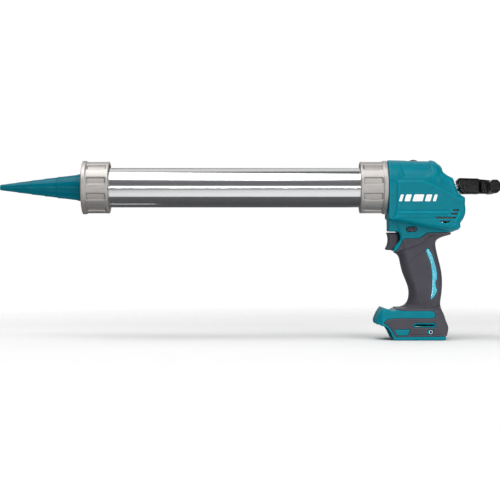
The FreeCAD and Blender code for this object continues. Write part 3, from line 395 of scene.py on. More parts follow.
class Grid:
    """Points at an even pitch in a box, and solids described by distance (negative inside)."""

    def __init__(self, low, high, pitch):
        self.low, self.pitch = np.array(low, dtype=np.float32), pitch
        counts = [int(math.ceil((b - a) / pitch)) + 1 for a, b in zip(low, high)]
        axes = [(a + pitch * np.arange(n)).astype(np.float32) for a, n in zip(low, counts)]
        self.x = axes[0][:, None, None]
        self.y = axes[1][None, :, None]
        self.z = axes[2][None, None, :]

    def outline(self, points, soften=0):
        """Distance from an outline drawn in X and Z."""
        wide, tall = self.x[:, 0, :], self.z[0, :, :]
        near = np.full(np.broadcast_shapes(wide.shape, tall.shape), 1e9, dtype=np.float32)
        inside = np.ones_like(near)
        for (x0, z0), (x1, z1) in zip(points, points[1:] + points[:1]):
            ex, ez = x1 - x0, z1 - z0
            wx, wz = wide - x0, tall - z0
            along = np.clip((wx * ex + wz * ez) / max(ex * ex + ez * ez, 1e-9), 0, 1)
            near = np.minimum(near, (wx - ex * along) ** 2 + (wz - ez * along) ** 2)
            above, below = tall >= z0, tall < z1
            left = ex * wz > ez * wx
            flip = (above & below & left) | (~above & ~below & ~left)
            inside = np.where(flip, -inside, inside)
        distance = inside * np.sqrt(near)
        for _ in range(soften):
            distance = blurred(blurred(distance, 0), 1)
        return distance[:, None, :]

    def box(self, xs, ys, zs, radius=0.0):
        """Distance from a box with rounded edges."""
        gaps = [np.abs(at - (low + high) / 2) - (high - low) / 2 + radius
                for at, (low, high) in zip((self.x, self.y, self.z), (xs, ys, zs))]
        outside = np.sqrt(sum(np.maximum(gap, 0) ** 2 for gap in gaps))
        within = np.minimum(np.maximum(np.maximum(gaps[0], gaps[1]), gaps[2]), 0)
        return outside + within - radius

    def drill_y(self, centre, radius):
        return np.hypot(self.x - centre[0], self.z - centre[1]) - radius

    def drill_x(self, radius, centre=None):
        across, up = centre or (0.0, AXIS)
        return np.hypot(self.y - across, self.z - up) - radius

    def mesh(self, name, distance, mirror=False):
        """A skin where the distance is zero, in metres."""
        shape = (self.x.size, self.y.size, self.z.size)
        distance = np.broadcast_to(distance, shape)
        for axis in range(3):
            distance = blurred(distance, axis)
        limit = 3 * self.pitch
        values = np.clip(distance, -limit, limit).astype(np.float32)
        for axis in range(3):
            ends = [slice(None)] * 3
            for end in (0, -1):
                ends[axis] = end
                values[tuple(ends)] = limit
        volume = openvdb.FloatGrid(limit)
        volume.copyFromArray(np.ascontiguousarray(values))
        points, triangles, quads = volume.convertToPolygons(0.0, 0.0)
        points = (points * self.pitch + self.low) * MM
        if mirror:
            points = points * np.array((1, -1, 1))
        faces = [tuple(face) for face in triangles.tolist()] + [tuple(face) for face in quads.tolist()]
        mesh = mesh_from(name, points.tolist(), faces)
        fix_direction(mesh)
        return mesh


def blurred(values, axis):
    """One pass of a 1-2-1 blur along an axis."""
    values = np.moveaxis(values, axis, 0)
    padded = np.concatenate([values[:1], values, values[-1:]])
    return np.moveaxis((padded[:-2] + 2 * padded[1:-1] + padded[2:]) / 4, 0, axis)


def rounded(a, b, radius):
    """Where both are inside, with the shared edge rounded."""
    over_a, over_b = np.maximum(a + radius, 0), np.maximum(b + radius, 0)
    return np.minimum(np.maximum(a, b) + radius, 0) + np.sqrt(over_a ** 2 + over_b ** 2) - radius


def chamfered(a, b, leg):
    return np.maximum(np.maximum(a, b), (a + b + leg) * math.sqrt(0.5))


def merged(a, b, blend):
    """Where either is inside, with a fillet between them."""
    mix = np.clip(0.5 + 0.5 * (b - a) / blend, 0, 1)
    return b + (a - b) * mix - blend * mix * (1 - mix)


def without(a, *others):
    for other in others:
        a = np.maximum(a, -other)
    return a


def step(value, low, high):
    """0 below low and 1 above high, with a smooth rise."""
    t = np.clip((value - low) / (high - low), 0, 1)
    return t * t * (3 - 2 * t)


def eased(points, passes=2):
    """Cut an outline's corners so that it runs in curves."""
    for _ in range(passes):
        cut = []
        for (x0, z0), (x1, z1) in zip(points, points[1:] + points[:1]):
            cut += [(0.75 * x0 + 0.25 * x1, 0.75 * z0 + 0.25 * z1),
                    (0.25 * x0 + 0.75 * x1, 0.25 * z0 + 0.75 * z1)]
        points = cut
    return points


# ---------------------------------------------------------------- moulded housing and grip

UPPER = [
    (-44.2, 250), (12, 250), (20.5, 243), (26.5, 235.5), (28, 232), (28.6, 226), (34, 221),
    (41.8, 217), (44.4, 207), (46.6, 200), (53, 193.5), (57.5, 191.5), (57.5, 186.5), (57, 183),
    (58, 176), (57.5, 169), (54.5, 162), (50.5, 156.5), (51.5, 151.5), (48, 147.4), (38, 147),
    (8, 151.5), (-40, 161.5), (-44.2, 163),
]
PANEL = [
    (-35.8, 215.4), (1.7, 215.4), (9.2, 213.3), (17.7, 209.5), (28.4, 203.7), (39, 198.9),
    (47, 194.1), (63, 191.4), (63, 140), (48, 145.5), (33.7, 147), (2.8, 151), (-22.8, 156),
    (-43.4, 161), (-40.6, 164), (-37.6, 171.4), (-36.4, 178), (-36, 187.4),
]
TOP_RECESS = [(-31, 236), (-25, 218), (6, 219), (12, 224), (12, 236)]
NECK = [
    (-43.4, 172), (-43.4, 146), (-31, 145.6), (-28.4, 141.5), (-28, 137), (-29.2, 133.5),
    (-31.6, 130), (-35, 126.5), (-37.4, 118.9), (-30.3, 119.4), (-20, 122), (0, 130), (9.9, 140),
    (42, 145), (46, 147.5), (46, 172),
]
GRIP = [
    (-37, 118.4), (-30, 122), (-20, 134), (0, 146), (42, 144.6), (41, 142), (33, 140),
    (26, 137.7), (21.7, 135), (19.7, 131.5), (20, 125), (23, 112), (26, 100.5), (28, 91),
    (28.9, 82), (28.9, 71.5), (28, 61), (26.2, 50), (26.5, 41), (26, 36), (-28, 36), (-27, 42.6),
    (-20, 46.4), (-16.4, 51), (-14.6, 56), (-14.1, 62), (-14.2, 66), (-15.6, 73), (-19, 81.3),
    (-22.5, 89.6), (-24.8, 98), (-26.3, 106.3), (-27.4, 111), (-29.4, 114.5), (-33, 117.2),
]
FOOT = [
    (-52, 44), (-57.7, 35.4), (-61.5, 27), (-61.6, 23.8), (-60.5, 20.9), (-56.6, 19.4),
    (-49.3, 18.7), (-45.7, 15.7), (-42, 10), (-37.5, 0), (31.2, 0), (34, 11), (35, 16.5),
    (34, 20.2), (31.2, 26.6), (29, 34), (25.6, 41), (25.6, 43), (-33, 42.6), (-39, 39),
    (-46, 41.2),
]
DARK_GRIP = [
    (-50, 112), (-32.6, 120.4), (-29.9, 124.3), (-27.4, 129), (-25.4, 133.8), (-22.6, 136),
    (-2.7, 136.4), (7.5, 144), (38, 144.9), (60, 144.9), (60, 38), (26, 38), (14, 39.4),
    (-27, 39.4), (-37.5, 42.4), (-37.5, 47), (-50, 60),
]
DARK_FOOT = [
    (-52.6, 22.6), (-48.1, 26.8), (-44.1, 28.8), (-30.2, 29.6), (14.2, 29.6), (16.8, 32.2),
    (16.4, 36), (13.4, 40), (14, 46), (50, 46), (50, 5.6), (12.5, 5.2), (-36, 4.6), (-42.1, 15.3),
    (-48.2, 21.6),
]
INLAY = [
    (9.1, 123.2), (6, 121.5), (8.7, 113.3), (12.6, 103.6), (14, 95.4), (14.9, 85.8),
    (14.9, 78.9), (14.3, 68.6), (12.9, 58.3), (12.4, 53), (17.2, 58), (21, 64.2), (21.8, 67.2),
    (19.4, 71.8), (19.4, 79.2), (21.5, 82), (21.6, 84.5), (20.9, 92.6), (19, 100.9), (15.7, 111.9),
    (11, 121.5),
]
HOOK_WINDOW = [(-10.8, 23.4), (17.2, 23.4), (18.8, 17.5), (-13, 17.5)]
TEXT_WINDOW = [(-37.9, 15), (-16.6, 15), (-19.8, 6.7), (-33.9, 6.7)]
SCREW_WINDOW = [(6.8, 14.6), (15.4, 14.6), (13.2, 8.5), (5.3, 8.5)]
VENTS = [
    [(40.4, 175), (48.2, 175), (47.4, 172.4), (39.6, 172.4)],
    [(38.4, 170.3), (46.8, 170.3), (45.8, 167.7), (37.4, 167.7)],
    [(15, 165), (44.6, 165), (43.2, 162.6), (18.4, 162.6)],
    [(22.4, 159.9), (37.6, 159.9), (34.4, 157.4), (31, 156.7), (28, 156.9), (25, 158)],
]
HOUSING_SCREWS = [(19, 237), (47.5, 152), (-38, 152.5), (-36, 233.5), (20, 75), (-52, 30), (30, 14)]
PANEL_GROOVES = (163.8, 168.9, 173.6)
GRIP_HALF, NECK_HALF, SIDE_HALF = 19.6, 22.0, 35.6
SKIN = 2.2
PROUD = 0.45
POCKET_DEPTH = 2.6


def upper_body(g):
    """Arched body with a collar, a raised side panel and rounded ends."""
    taper, taper_length, hump, collar_rise, recess_depth = 1.7, 56, 1.8, 1.5, 0.9
    hump_front, hump_back, collar_end, round_edge = (10.5, 14.5), (19, 24), (-32.6, -31.4), (-42, -28)
    groove_half, groove_reach, groove_depth, bevel = 0.45, 34, 0.55, 3.6
    slope = np.clip((g.x - HOUSING_FRONT) / taper_length, 0, 1)
    bump = step(g.x, *hump_front) * (1 - step(g.x, *hump_back))
    above = g.z > AXIS
    round_top = np.where(above, np.hypot(g.y, g.z - AXIS), np.abs(g.y))
    collar = 1 - step(g.x, *collar_end)
    side = SIDE_HALF + collar_rise * collar * step(g.z, AXIS + 7.5, AXIS + 10.5)
    radius = np.where(above, BODY_RADIUS - taper * slope + hump * bump, 0)
    lean = step(g.z, AXIS - 4, AXIS + 30)
    skin = round_top - np.where(above, side + (radius - side) * lean, side)
    skin = skin + recess_depth * (1 - step(g.outline(TOP_RECESS, 1), -1.2, 0.4))
    panel = chamfered(g.outline(PANEL, 2), np.abs(g.y) - BODY_RADIUS, bevel)
    for level in PANEL_GROOVES:
        groove = np.maximum(np.abs(g.z - level) - groove_half, np.abs(g.x) - groove_reach)
        panel = without(panel, np.maximum(groove, BODY_RADIUS - groove_depth - np.abs(g.y)))
    edge = 1.0 + 5.5 * step(g.x, *round_edge)
    return rounded(g.outline(UPPER, 2), merged(skin, panel, 1.0), edge)


def outer_body(g):
    """The whole moulding's outer surface, before it is split into plastics."""
    return merged(handle_body(g), upper_body(g), 2.0)


def handle_body(g):
    """Neck, grip and foot, blended into one."""
    neck_step, grip_step, grip_wedge = 1.8, 1.0, 0.22
    crown, crown_middle, crown_reach, waist = 0.9, -12, 45, 1.4
    heel_wedge, nose_wedge, nose_start = 0.28, 0.75, -52.6

    # the neck is narrower ahead of a line that leans with the trigger
    neck_line = g.x + 0.28 * (g.z - 141)
    neck_half = NECK_HALF - neck_step * (1 - step(neck_line, -29.5, -25.5))
    neck = rounded(g.outline(NECK, 2), np.abs(g.y) - neck_half, 2.6)

    # the grip steps in below a slanted crease, and thins ahead of its front edge's line
    crease = (g.z - 101.6) - 0.70 * (g.x + 23.8)
    front = (g.x + 16.4) + 0.278 * (g.z - 104.3)
    grip_half = GRIP_HALF - grip_step + grip_step * step(crease, -1.5, 1.0)
    grip_half = grip_half - grip_wedge * np.maximum(-front, 0)
    grip = rounded(g.outline(eased(GRIP), 2), np.abs(g.y) - grip_half, 10.5)

    # the foot bulges in plan, and narrows at its heel, its nose and its top
    heel = np.maximum((g.x - 15.2) + 0.28 * (g.z - 38.8), 0)
    nose = np.maximum(nose_start - g.x, 0)
    bulge = crown * ((g.x - crown_middle) / crown_reach) ** 2
    foot_half = FOOT_HALF - PROUD - bulge - heel_wedge * heel - nose_wedge * nose
    foot_half = foot_half - waist * step(g.z, 38, 44)
    foot = rounded(g.outline(FOOT, 2), np.abs(g.y) - foot_half, 3.0)
    return merged(merged(grip, foot, 5.0), neck, 1.6)


def dark_map(g):
    """Where the soft overmould shows, as a distance in X and Z."""
    foot = without(g.outline(DARK_FOOT, 1), g.outline(HOOK_WINDOW), g.outline(TEXT_WINDOW),
                   g.outline(SCREW_WINDOW))
    return np.minimum(g.outline(DARK_GRIP, 2), foot)


def capsule(g, centre, half_length, half_height):
    """A slot with round ends, running through from side to side."""
    along = np.maximum(np.abs(g.x - centre[0]) - half_length + half_height, 0)
    return np.hypot(along, g.z - centre[2]) - half_height


def housing_openings(g):
    """Holes through the mouldings that both halves share."""
    hook_slot = g.outline([(-10, 21.7), (16.4, 21.7), (17, 18.9), (-10.8, 18.9)])
    holes = {
        "tube_socket": np.maximum(g.drill_x(24.7), np.abs(g.x + 43) - 8),
        "rod_hole": np.maximum(g.drill_x(8.2), np.abs(g.x - 51) - 13),
        "trigger_slot": g.box((-62, -19), (-11.6, 11.6), (119, 145.2), 0.6),
        "dial_slot": g.box((DIAL[0] - 9.5, DIAL[0] + 9.5), (-5.2, 5.2), (234, 250), 0.8),
        "lock_hole": capsule(g, LOCK, 7.4, 3.3),
        "insert_hole": np.maximum(g.drill_y((INSERT[0], INSERT[2]), INSERT_RADIUS), 30.5 - np.abs(g.y)),
        "battery_bay": g.box((-75, 26), (-31, 31), (6, 21), 0.5),
        "battery_mouth": g.box((-75, 26), (-25, 25), (-8, 6.8), 0.5),
        "hook_slot": np.maximum(hook_slot, FOOT_HALF - POCKET_DEPTH - np.abs(g.y)),
    }
    vents = [np.maximum(g.outline(vent), 30 - np.abs(g.y)) for vent in VENTS]
    return list(holes.values()) + vents


def foot_groove(g, body):
    """The shallow groove along the foot's lower edge."""
    level, half_height, centre, half_length, depth, shoulder = 7.6, 0.6, 7, 24, 0.6, 0.9
    band = np.maximum(np.abs(g.z - level) - half_height, np.abs(g.x - centre) - half_length)
    outward = FOOT_HALF - POCKET_DEPTH - np.abs(g.y) + np.maximum(body, -shoulder) + shoulder
    return np.maximum(np.maximum(band, outward), -depth - body)


def housing_halves():
    """Left and right mouldings, their overmoulds and the glossy grip inlays."""
    margin, pitch, top = 3, 0.7, 246
    half_gap, seam, inlay_proud = 0.08, 0.12, 1.0
    post_radius, well_radius, shank_radius, post_inset = 5.2, 3.9, 1.8, 0.6
    g = Grid((HOUSING_LOW[0] - margin, -1.2, -margin),
             (HOUSING_HIGH[0] + margin, BODY_RADIUS + margin, top), pitch)
    body = outer_body(g)
    dark = dark_map(g)
    inlay = g.outline(eased(INLAY, 1))
    holes = housing_openings(g)
    bed = np.maximum(-body - SKIN - 0.05, np.minimum(dark, inlay) - 0.1)
    wall = 2.7 + 1.9 * (1 - step(dark, -0.5, 1.5))
    shell = without(body, bed, body + wall)
    skin = without(np.maximum(body - PROUD, dark + seam), body + SKIN, inlay - seam, foot_groove(g, body))
    strip = without(np.maximum(body - inlay_proud, inlay), body + SKIN)
    posts = {screw: g.drill_y(screw, post_radius) for screw in HOUSING_SCREWS}
    for side, mirror in (("left", True), ("right", False)):
        shell_here, skin_here = shell, skin
        if side == "right":
            for screw, post in posts.items():
                well = np.maximum(g.drill_y(screw, well_radius), SCREW_SEAT - g.y)
                well = np.minimum(well, g.drill_y(screw, shank_radius))
                shell_here = without(np.minimum(shell_here, np.maximum(post, body + post_inset)), well)
                skin_here = without(skin_here, well)
        pieces = (
            (f"housing_{side}_shell", shell_here, "teal_housing", "teal_housing", [f"housing_{side}"]),
            (f"grip_{side}_skin", skin_here, "grey_overmould", "grey_overmould", [f"grip_{side}"]),
            (f"grip_{side}_inlay", strip, "teal_gloss", "teal_housing", []),
        )
        for name, field, material, slot, replaced in pieces:
            solid = np.maximum(without(field, *holes), half_gap - g.y)
            mesh = g.mesh(name, solid, mirror)
            finish_piece(name, mesh, "housing", material, replaced, crease=None)


housing_halves()


# ---------------------------------------------------------------- controls and handle


def trigger():
    """Finger blade, crowned from side to side."""
    low, high = node_box("trigger")
    half = float(high[1])
    outline = [
        (-45.6, 144.6), (-43.8, 140.5), (-43.2, 136), (-43.4, 131.5), (-44.6, 127),
        (-47, 122.6), (-46.2, 121), (-43, 120.5), (-38.6, 120.4), (-36, 121.3),
        (-32.4, 124.6), (-29.9, 128.4), (-28.9, 134), (-29.2, 139), (-31.4, 144.6),
    ]
    g = Grid(low - 2, high + 2, 0.4)
    crown = 0.003 * g.y ** 2
    shape = rounded(g.outline(outline, 2) + crown, np.abs(g.y) - half, 2.4)
    finish_piece("trigger_blade", g.mesh("trigger_blade", shape), "trigger", "dark_plastic",
                 ["trigger"], crease=None)


def lock_button():
    """Push-through bolt with ribbed, slightly domed ends."""
    low, high = node_box("lock_off_button")
    g = Grid(low - 1.5, high + 1.5, 0.35)
    size = (high - low) / 2
    groove_pitch, groove_half, groove_depth = 2.4, 0.4, 1.4
    dome = 0.0175 * (g.x - LOCK[0]) ** 2
    shape = rounded(capsule(g, LOCK, size[0], size[2]), np.abs(g.y) - size[1] + dome, 0.8)
    grooves = np.abs((g.x - LOCK[0]) % groove_pitch - groove_pitch / 2) - groove_half
    grooves = np.maximum(grooves, size[1] - groove_depth - np.abs(g.y))
    finish_piece("lock_off_bolt", g.mesh("lock_off_bolt", without(shape, grooves)), "lock_off_button",
                 "dark_plastic", ["lock_off_button"], crease=None)


def speed_dial():
    """Thumb wheel with a knurled rim and raised setting ribs."""
    low, high = node_box("speed_dial")
    radius, half = float(high[0] - low[0]) / 2, float(high[1] - low[1]) / 2
    bore, knurls, knurl_depth = 2.2, 36, 0.45
    profile = [(-half, bore), (-half, radius - 1.4), (-half + 0.6, radius - 0.4), (-half + 1.4, radius),
               (half - 1.4, radius), (half - 0.6, radius - 0.4), (half, radius - 1.4), (half, bore)]

    def knurled(place, at, angle):
        if at < radius - 0.2:
            return at
        return at - knurl_depth * (0.5 + 0.5 * math.cos(knurls * angle))

    mesh = lathe("speed_dial_wheel", profile, DIAL, "Y", 288, knurled)
    finish_piece("speed_dial_wheel", mesh, "speed_dial", "dark_plastic", ["speed_dial"])


def rod_handle():
    """Black moulded block on the rod, with an eight-sided cross bar."""
    low, high = node_box("rod_handle")
    g = Grid(low - 3, high + 3, 0.55)
    bar_x, bar_z = float(high[0]) - 7.4, AXIS + 0.6
    block = [
        (49.6, 214.6), (52.2, 218.2), (78, 217.4), (80.5, 215.5), (80.5, 198.5), (78, 196.8),
        (57, 196.6), (52.4, 201.5),
    ]
    waist = [(74, 217), (86, 216.2), (bar_x, 215), (bar_x, 198), (88, 197), (74, 197)]
    block_half, neck_half, bar_half = 11, 6.4, 30
    bar_front, bar_rise, bar_corner, bar_taper = 7.5, 9.0, 12.4, 0.8
    grip = rounded(g.outline(block, 1), np.abs(g.y) - block_half, 1.8)
    neck = rounded(g.outline(waist, 1), np.abs(g.y) - neck_half, 1.6)
    taper = bar_taper * step(10 - np.abs(g.y), 0, 8)
    across, up = np.abs(g.x - bar_x) + taper, np.abs(g.z - bar_z) + taper
    corner = (across + up - bar_corner) * math.sqrt(0.5)
    bar = np.maximum(np.maximum(across - bar_front, up - bar_rise), corner)
    bar = rounded(bar, np.abs(g.y) - bar_half, 1.6)
    shape = merged(merged(grip, neck, 2.4), bar, 1.6)
    rod_hole = np.maximum(g.drill_x(5.05), g.x - 66)
    pin_hole = g.drill_y((60, AXIS), 2.15)
    shape = without(shape, rod_hole, pin_hole)
    finish_piece("rod_handle_grip", g.mesh("rod_handle_grip", shape), "rod", "black_plastic",
                 ["rod_handle"], crease=None)


trigger()
lock_button()
speed_dial()
rod_handle()


# ---------------------------------------------------------------- barrel, rings and nozzle


def union_ring(name, body, mouth):
    """Cast ring with a rim and finger recesses; mouth is +1 where it opens toward +X."""
    recesses, recess_half, recess_depth, recess_middle, recess_reach = 10, 4.8, 3.1, 20.3, 12.7
    rim_middle, rim_half, rim_rise, floor, bore = 3.1, 2.9, 1.1, 5.0, 30.2
    mouth_radius, mouth_depth = 31.3, 4.5
    hole_radius = 20.0 if mouth > 0 else 25.0
    low, high = node_box(name)
    g = Grid(low - 1.6, high + 1.6, 0.55)
    closed, opened = float(low[0]), float(high[0])
    if mouth < 0:
        closed, opened = opened, closed
    length = abs(opened - closed)
    depth = (g.x - closed) * mouth
    rho = np.hypot(g.y, g.z - AXIS)
    angle = np.arctan2(g.y, g.z - AXIS)
    outer = float(high[1])
    shell = rounded(np.maximum(-depth, depth - length), rho - outer + rim_rise, 1.0)
    rim = rounded(np.abs(depth - rim_middle) - rim_half, rho - outer, 0.8)
    pitch = 2 * math.pi / recesses
    turn = (angle - math.radians(13.5)) % pitch - pitch / 2
    arc = np.abs(turn) * outer - recess_half
    along = np.abs(depth - recess_middle) - recess_reach
    recess = rounded(rounded(arc, along, 1.6), (outer - recess_depth) - rho, 0.4)
    hollow = np.maximum(rho - bore, floor - depth)
    mouth_cut = np.maximum(rho - mouth_radius, length - mouth_depth - depth)
    ring = without(merged(shell, rim, 0.8), recess, hollow, mouth_cut, rho - hole_radius)
    piece = name + "_casting"
    finish_piece(piece, g.mesh(piece, ring), body, "cast_ring", [name], crease=None)


def barrel():
    """Bright tube with its ends eased, sampled along its length for even shading."""
    outer, bore, ease, steps = 27.0, 25.5, 0.3, 24
    start, end = float(TUBE_LOW[0]), float(TUBE_HIGH[0])
    profile = [(start, bore + ease), (start + ease, bore), (end - ease, bore), (end, bore + ease),
               (end, outer - ease), (end - ease, outer)]
    profile += [(end - ease + (start + 2 * ease - end) * k / steps, outer) for k in range(1, steps)]
    profile += [(start + ease, outer), (start, outer - ease)]
    mesh = lathe("barrel_tube", profile, (0, 0, AXIS), "X", 256)
    finish_piece("barrel_tube", mesh, "holder", "barrel_aluminium", ["holder_tube"])


def thread_sleeve(name):
    """Sleeve with a real helical thread where the CAD has a plain cylinder."""
    low, high = node_box(name)
    start, end = float(low[0]), float(high[0])
    pitch, root, crest, bore, run_out = 3.0, 28.6, 29.75, 27.02, 1.2
    samples_per_mm = 8
    count = int((end - start) * samples_per_mm)
    outside = [(end - (end - start) * k / count, crest) for k in range(count + 1)]
    profile = [(start, bore), (end, bore)] + outside

    def threaded(place, at, angle):
        if at < root:
            return at
        phase = (place / pitch - angle / (2 * math.pi)) % 1.0
        flank = 1 - min(max(abs(phase - 0.5) * 4 - 0.5, 0), 1)
        fade = min(1.0, (place - start) / run_out, (end - place) / run_out)
        return root + (crest - root) * flank * max(fade, 0)

    mesh = lathe(name + "_thread", profile, (0, 0, AXIS), "X", 144, threaded)
    finish_piece(name + "_thread", mesh, "holder", "case_aluminium", [name])


def nozzle():
    """Cone with shallow cutting ledges, an open tip and a sealing flange."""
    tip, back = float(NOZZLE_LOW[0]), float(NOZZLE_HIGH[0])
    base = back - 3.3
    tip_radius, base_radius, outlet, flange, wall = 3.6, 19.0, 2.2, 28.5, 2.2
    ledges = [(-544, 0.35), (-525.6, 0.5), (-508.3, 0.6), (-490.7, 0.75), (-463.5, 0.8)]
    ledge_run, spacing = 5.0, 0.8

    def cone(place):
        return tip_radius + (base_radius - tip_radius) * (place - tip) / (base - tip)

    outside = [(tip, tip_radius - 0.5), (tip + 0.5, cone(tip + 0.5))]
    place = tip + 2.0
    while place < base - 3:
        rise = sum(height * math.exp(-(place - at) / ledge_run) for at, height in ledges if place >= at)
        outside.append((place, cone(place) + rise))
        place += spacing
    outside += [(base - 2.2, base_radius + 0.3), (base - 1.0, base_radius + 1.0),
                (base, base_radius + 2.6), (base, flange - 0.3), (base + 0.3, flange), (back, flange)]
    inside = [(back, cone(base) - wall), (tip + 9, max(cone(tip + 9) - wall, outlet)), (tip, outlet)]
    mesh = lathe("nozzle_cone", outside + inside, (0, 0, AXIS), "X", 192)
    finish_piece("nozzle_cone", mesh, "nozzle", "teal_nozzle", ["nozzle"], crease=28)


union_ring("front_ring", "front_ring", 1)
union_ring("rear_ring", "rear_ring", -1)
barrel()
thread_sleeve("thread_sleeve_front")
thread_sleeve("thread_sleeve_rear")
nozzle()


# ---------------------------------------------------------------- small hardware


def coil(name, start, end, radius, wire, turns, around):
    """Round wire wound in a helix along X."""
    steps, sides = turns * 28, 10
    points, faces = [], []
    side = Vector((1, 0, 0))
    for k in range(steps + 1):
        share = k / steps
        angle = 2 * math.pi * turns * share
        out = Vector((0, math.sin(angle), math.cos(angle)))
        centre = radius * out + Vector((start + (end - start) * share, around[0], around[1]))
        for j in range(sides):
            bend = 2 * math.pi * j / sides
            points.append((centre + wire * (out * math.cos(bend) + side * math.sin(bend))) * MM)
    for k in range(steps):
        for j in range(sides):
            a, b = k * sides + j, k * sides + (j + 1) % sides
            faces.append((a, b, b + sides, a + sides))
    faces.append(tuple(range(sides)))
    faces.append(tuple(steps * sides + j for j in range(sides)))
    mesh = mesh_from(name, points, faces)
    fix_direction(mesh)
    return mesh


def trigger_spring():
    """Return spring coil beside the trigger, with a mesh of its own."""
    low, high = node_box("trigger_spring")
    start, end = float(low[0]), float(high[0])
    centre = (float(low[1] + high[1]) / 2, float(low[2] + high[2]) / 2)
    radius = float(high[2] - low[2]) / 2
    mesh = coil("trigger_spring_coil", start + 0.5, end - 0.5, radius - 0.6, 0.45, 6, centre)
    piece = finish_piece("trigger_spring_coil", mesh, "housing", "gear_steel", ["trigger_spring"])
    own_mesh(piece)


def star_screws():
    """Pan heads with a six-lobed recess over threaded shanks."""
    low, high = node_box("housing_screws")
    top, bottom = float(high[1]), float(low[1])
    shank, head, socket, socket_depth = 1.5, 3.3, 1.35, 1.4
    lobe, thread_pitch, thread_depth, samples_per_mm = 0.16, 1.2, 0.35, 5

    def shaped(place, at, angle):
        if place > SCREW_SEAT and 0.5 < at < 1.6:
            return at * (1 + lobe * math.cos(6 * angle))
        if place < SCREW_SEAT - 2 and at > 1.0:
            phase = (place / thread_pitch - angle / (2 * math.pi)) % 1.0
            return at - thread_depth * abs(phase - 0.5) * 2
        return at

    profile = [(top - socket_depth, 0.02), (top - socket_depth, socket), (top, 1.55), (top, 2.4),
               (top - 0.5, 3.0), (top - 1.5, head), (SCREW_SEAT, head), (SCREW_SEAT, shank)]
    count = int((SCREW_SEAT - bottom - 2) * samples_per_mm)
    profile += [(SCREW_SEAT - k / samples_per_mm, shank) for k in range(1, count)]
    profile += [(bottom + 0.2, 0.4), (bottom, 0.02)]
    for number, (across, up) in enumerate(HOUSING_SCREWS):
        mesh = lathe(f"housing_screw_{number}", profile, (across, 0, up), "Y", 48, shaped)
        replaced = ["housing_screws"] if number == 0 else []
        finish_piece(f"housing_screw_{number}", mesh, "housing", "screw_steel", replaced)


def panel_mark():
    """A plain mark of slanted bars printed on the side panels, with no lettering."""
    level, half_height, start, gap, slant, thickness = 190.2, 4.6, -30.5, 3.1, 0.30, 0.35
    widths = (4.2, 7.5, 13.5, 7.5, 4.2)
    g = Grid((-32.5, 36.2, 183), (26, 38.6, 198), 0.28)
    lean = slant * (g.z - level)
    shape = 1e3
    for width in widths:
        centre = start + width / 2
        bar = rounded(np.abs(g.x - lean - centre) - width / 2, np.abs(g.z - level) - half_height, 1.2)
        shape = np.minimum(shape, bar)
        start += width + gap
    shape = np.maximum(shape, np.abs(g.y - BODY_RADIUS) - thickness)
    for side, mirror in (("left", True), ("right", False)):
        name = f"panel_mark_{side}"
        finish_piece(name, g.mesh(name, shape, mirror), "housing", "mark_white",
                     crease=None)


trigger_spring()
star_screws()
panel_mark()


# ---------------------------------------------------------------- finishes for the CAD nodes that stay

for part in frame["record"]["subparts"]:
    carried = frame["nodes"][part["node"]]
    finish = MATERIALS[part["material_slot"]]
    if carried.data.materials:
        for index in range(len(carried.data.materials)):
            carried.data.materials[index] = finish
    else:
        carried.data.materials.append(finish)


# ---------------------------------------------------------------- studio


def card(name, corners, material):
    mesh = bpy.data.meshes.new(name)
    mesh.from_pydata(corners, [], [(0, 1, 2, 3)])
    mesh.materials.append(material)
    piece = bpy.data.objects.new(name, mesh)
    bpy.context.scene.collection.objects.link(piece)
    return piece


def flag(name, corners, shade):
    """A dark card that only reflections see."""
    cloth = Shader(name, (shade, shade, shade * 1.05, 1.0), 0.95, Specular_IOR_Level=0.0)
    cloth.bump(cloth.noise(300), 0.0001)
    piece = card(name, corners, cloth.material)
    piece.visible_camera = piece.visible_diffuse = piece.visible_shadow = False
    piece.visible_transmission = piece.visible_volume_scatter = False


def softbox(name, place, target, wide, tall, radiance):
    """A rectangular light of a given brightness."""
    light = bpy.data.lights.new(name, "AREA")
    light.shape, light.size, light.size_y = "RECTANGLE", wide, tall
    light.energy = radiance * math.pi * wide * tall
    lamp = bpy.data.objects.new(name, light)
    lamp.location = place
    lamp.rotation_euler = (Vector(target) - Vector(place)).to_track_quat("-Z", "Y").to_euler()
    bpy.context.scene.collection.objects.link(lamp)


def backdrop(seen, lit):
    """White surroundings, brighter where the camera sees them than where they light the object."""
    world = bpy.data.worlds.new("studio_world")
    world.use_nodes = True
    tree = world.node_tree
    background = tree.nodes["Background"]
    background.inputs["Color"].default_value = (1, 1, 1, 1)
    path = tree.nodes.new("ShaderNodeLightPath")
    level = tree.nodes.new("ShaderNodeMapRange")
    level.inputs["To Min"].default_value = lit
    level.inputs["To Max"].default_value = seen
    tree.links.new(path.outputs["Is Camera Ray"], level.inputs["Value"])
    tree.links.new(level.outputs["Result"], background.inputs["Strength"])
    bpy.context.scene.world = world


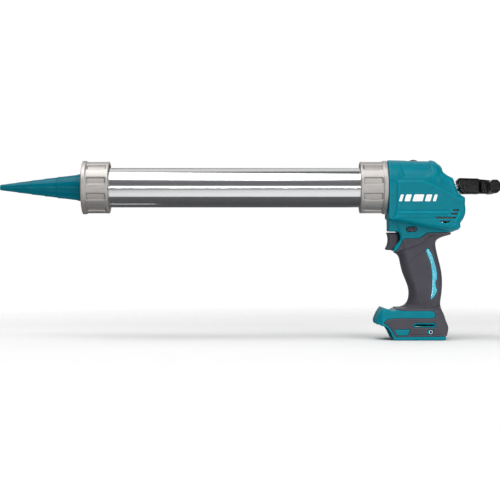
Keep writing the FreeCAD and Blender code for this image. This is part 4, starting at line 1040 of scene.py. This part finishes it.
def studio():
    """Floor, white surroundings, lights, and the dark cards that band the barrel's reflections."""
    card("floor", [(-6, -6, 0), (6, -6, 0), (6, 6, 0), (-6, 6, 0)], floor_paper("floor_paper"))
    backdrop(1.02, 0.13)
    near, height = -1.6, AXIS * MM
    low, high = (height - near * math.tan(math.radians(angle)) for angle in (8, 40))
    flag("flag_front", [(-2.6, near, low), (1.6, near, low), (1.6, near, high), (-2.6, near, high)], 0.22)

    # three cards just over the floor under the barrel: left edge, near edge and far edge
    reach = height * math.tan(math.radians(36))
    cards = {"fore": (-0.9, -reach, 0.052), "aft": (-0.9, 0.078, 3.0), "mid": (-0.37, 0.052, 0.078)}
    right, above_floor = -0.05, 0.002
    for label, (left, start, end) in cards.items():
        corners = [(left, start), (right, start), (right, end), (left, end)]
        flag("flag_" + label, [(x, y, above_floor) for x, y in corners], 0.11)

    centre = -0.2
    softbox("overhead", (centre - 0.5, -0.62, 2.1), (centre, 0, 0.15), 2.6, 1.5, 3.6)
    softbox("overhead_rear", (centre - 0.3, 0.85, 1.8), (centre, 0, 0.15), 2.6, 1.1, 0.65)
    softbox("front", (centre, -2.9, 0.42), (centre, 0, 0.25), 4.0, 0.75, 0.55)
    softbox("strip", (centre - 0.7, -2.35, 0.165), (centre - 0.7, 0, 0.2), 2.8, 0.04, 30)
    softbox("key", (0.9, -1.6, 1.0), (0, 0, 0.18), 0.5, 0.5, 8)
    softbox("side", (1.25, -1.1, 0.45), (0, 0, 0.14), 0.3, 0.9, 7)
    softbox("behind", (0.3, 2.2, 1.0), (centre, 0, 0.15), 2.4, 1.2, 0.9)


def camera():
    """Level view along +Y, at the mid height of the object's picture."""
    lens = bpy.data.cameras.new("camera")
    lens.lens, lens.sensor_width = 108.0, 36.0
    lens.clip_end = 100.0
    view = bpy.data.objects.new("camera", lens)
    view.location = (-0.2301, -2.035, 0.1208)
    view.rotation_euler = (math.radians(90), 0, 0)
    bpy.context.scene.collection.objects.link(view)
    bpy.context.scene.camera = view


studio()
camera()
bpy.context.scene.view_settings.view_transform = "Standard"
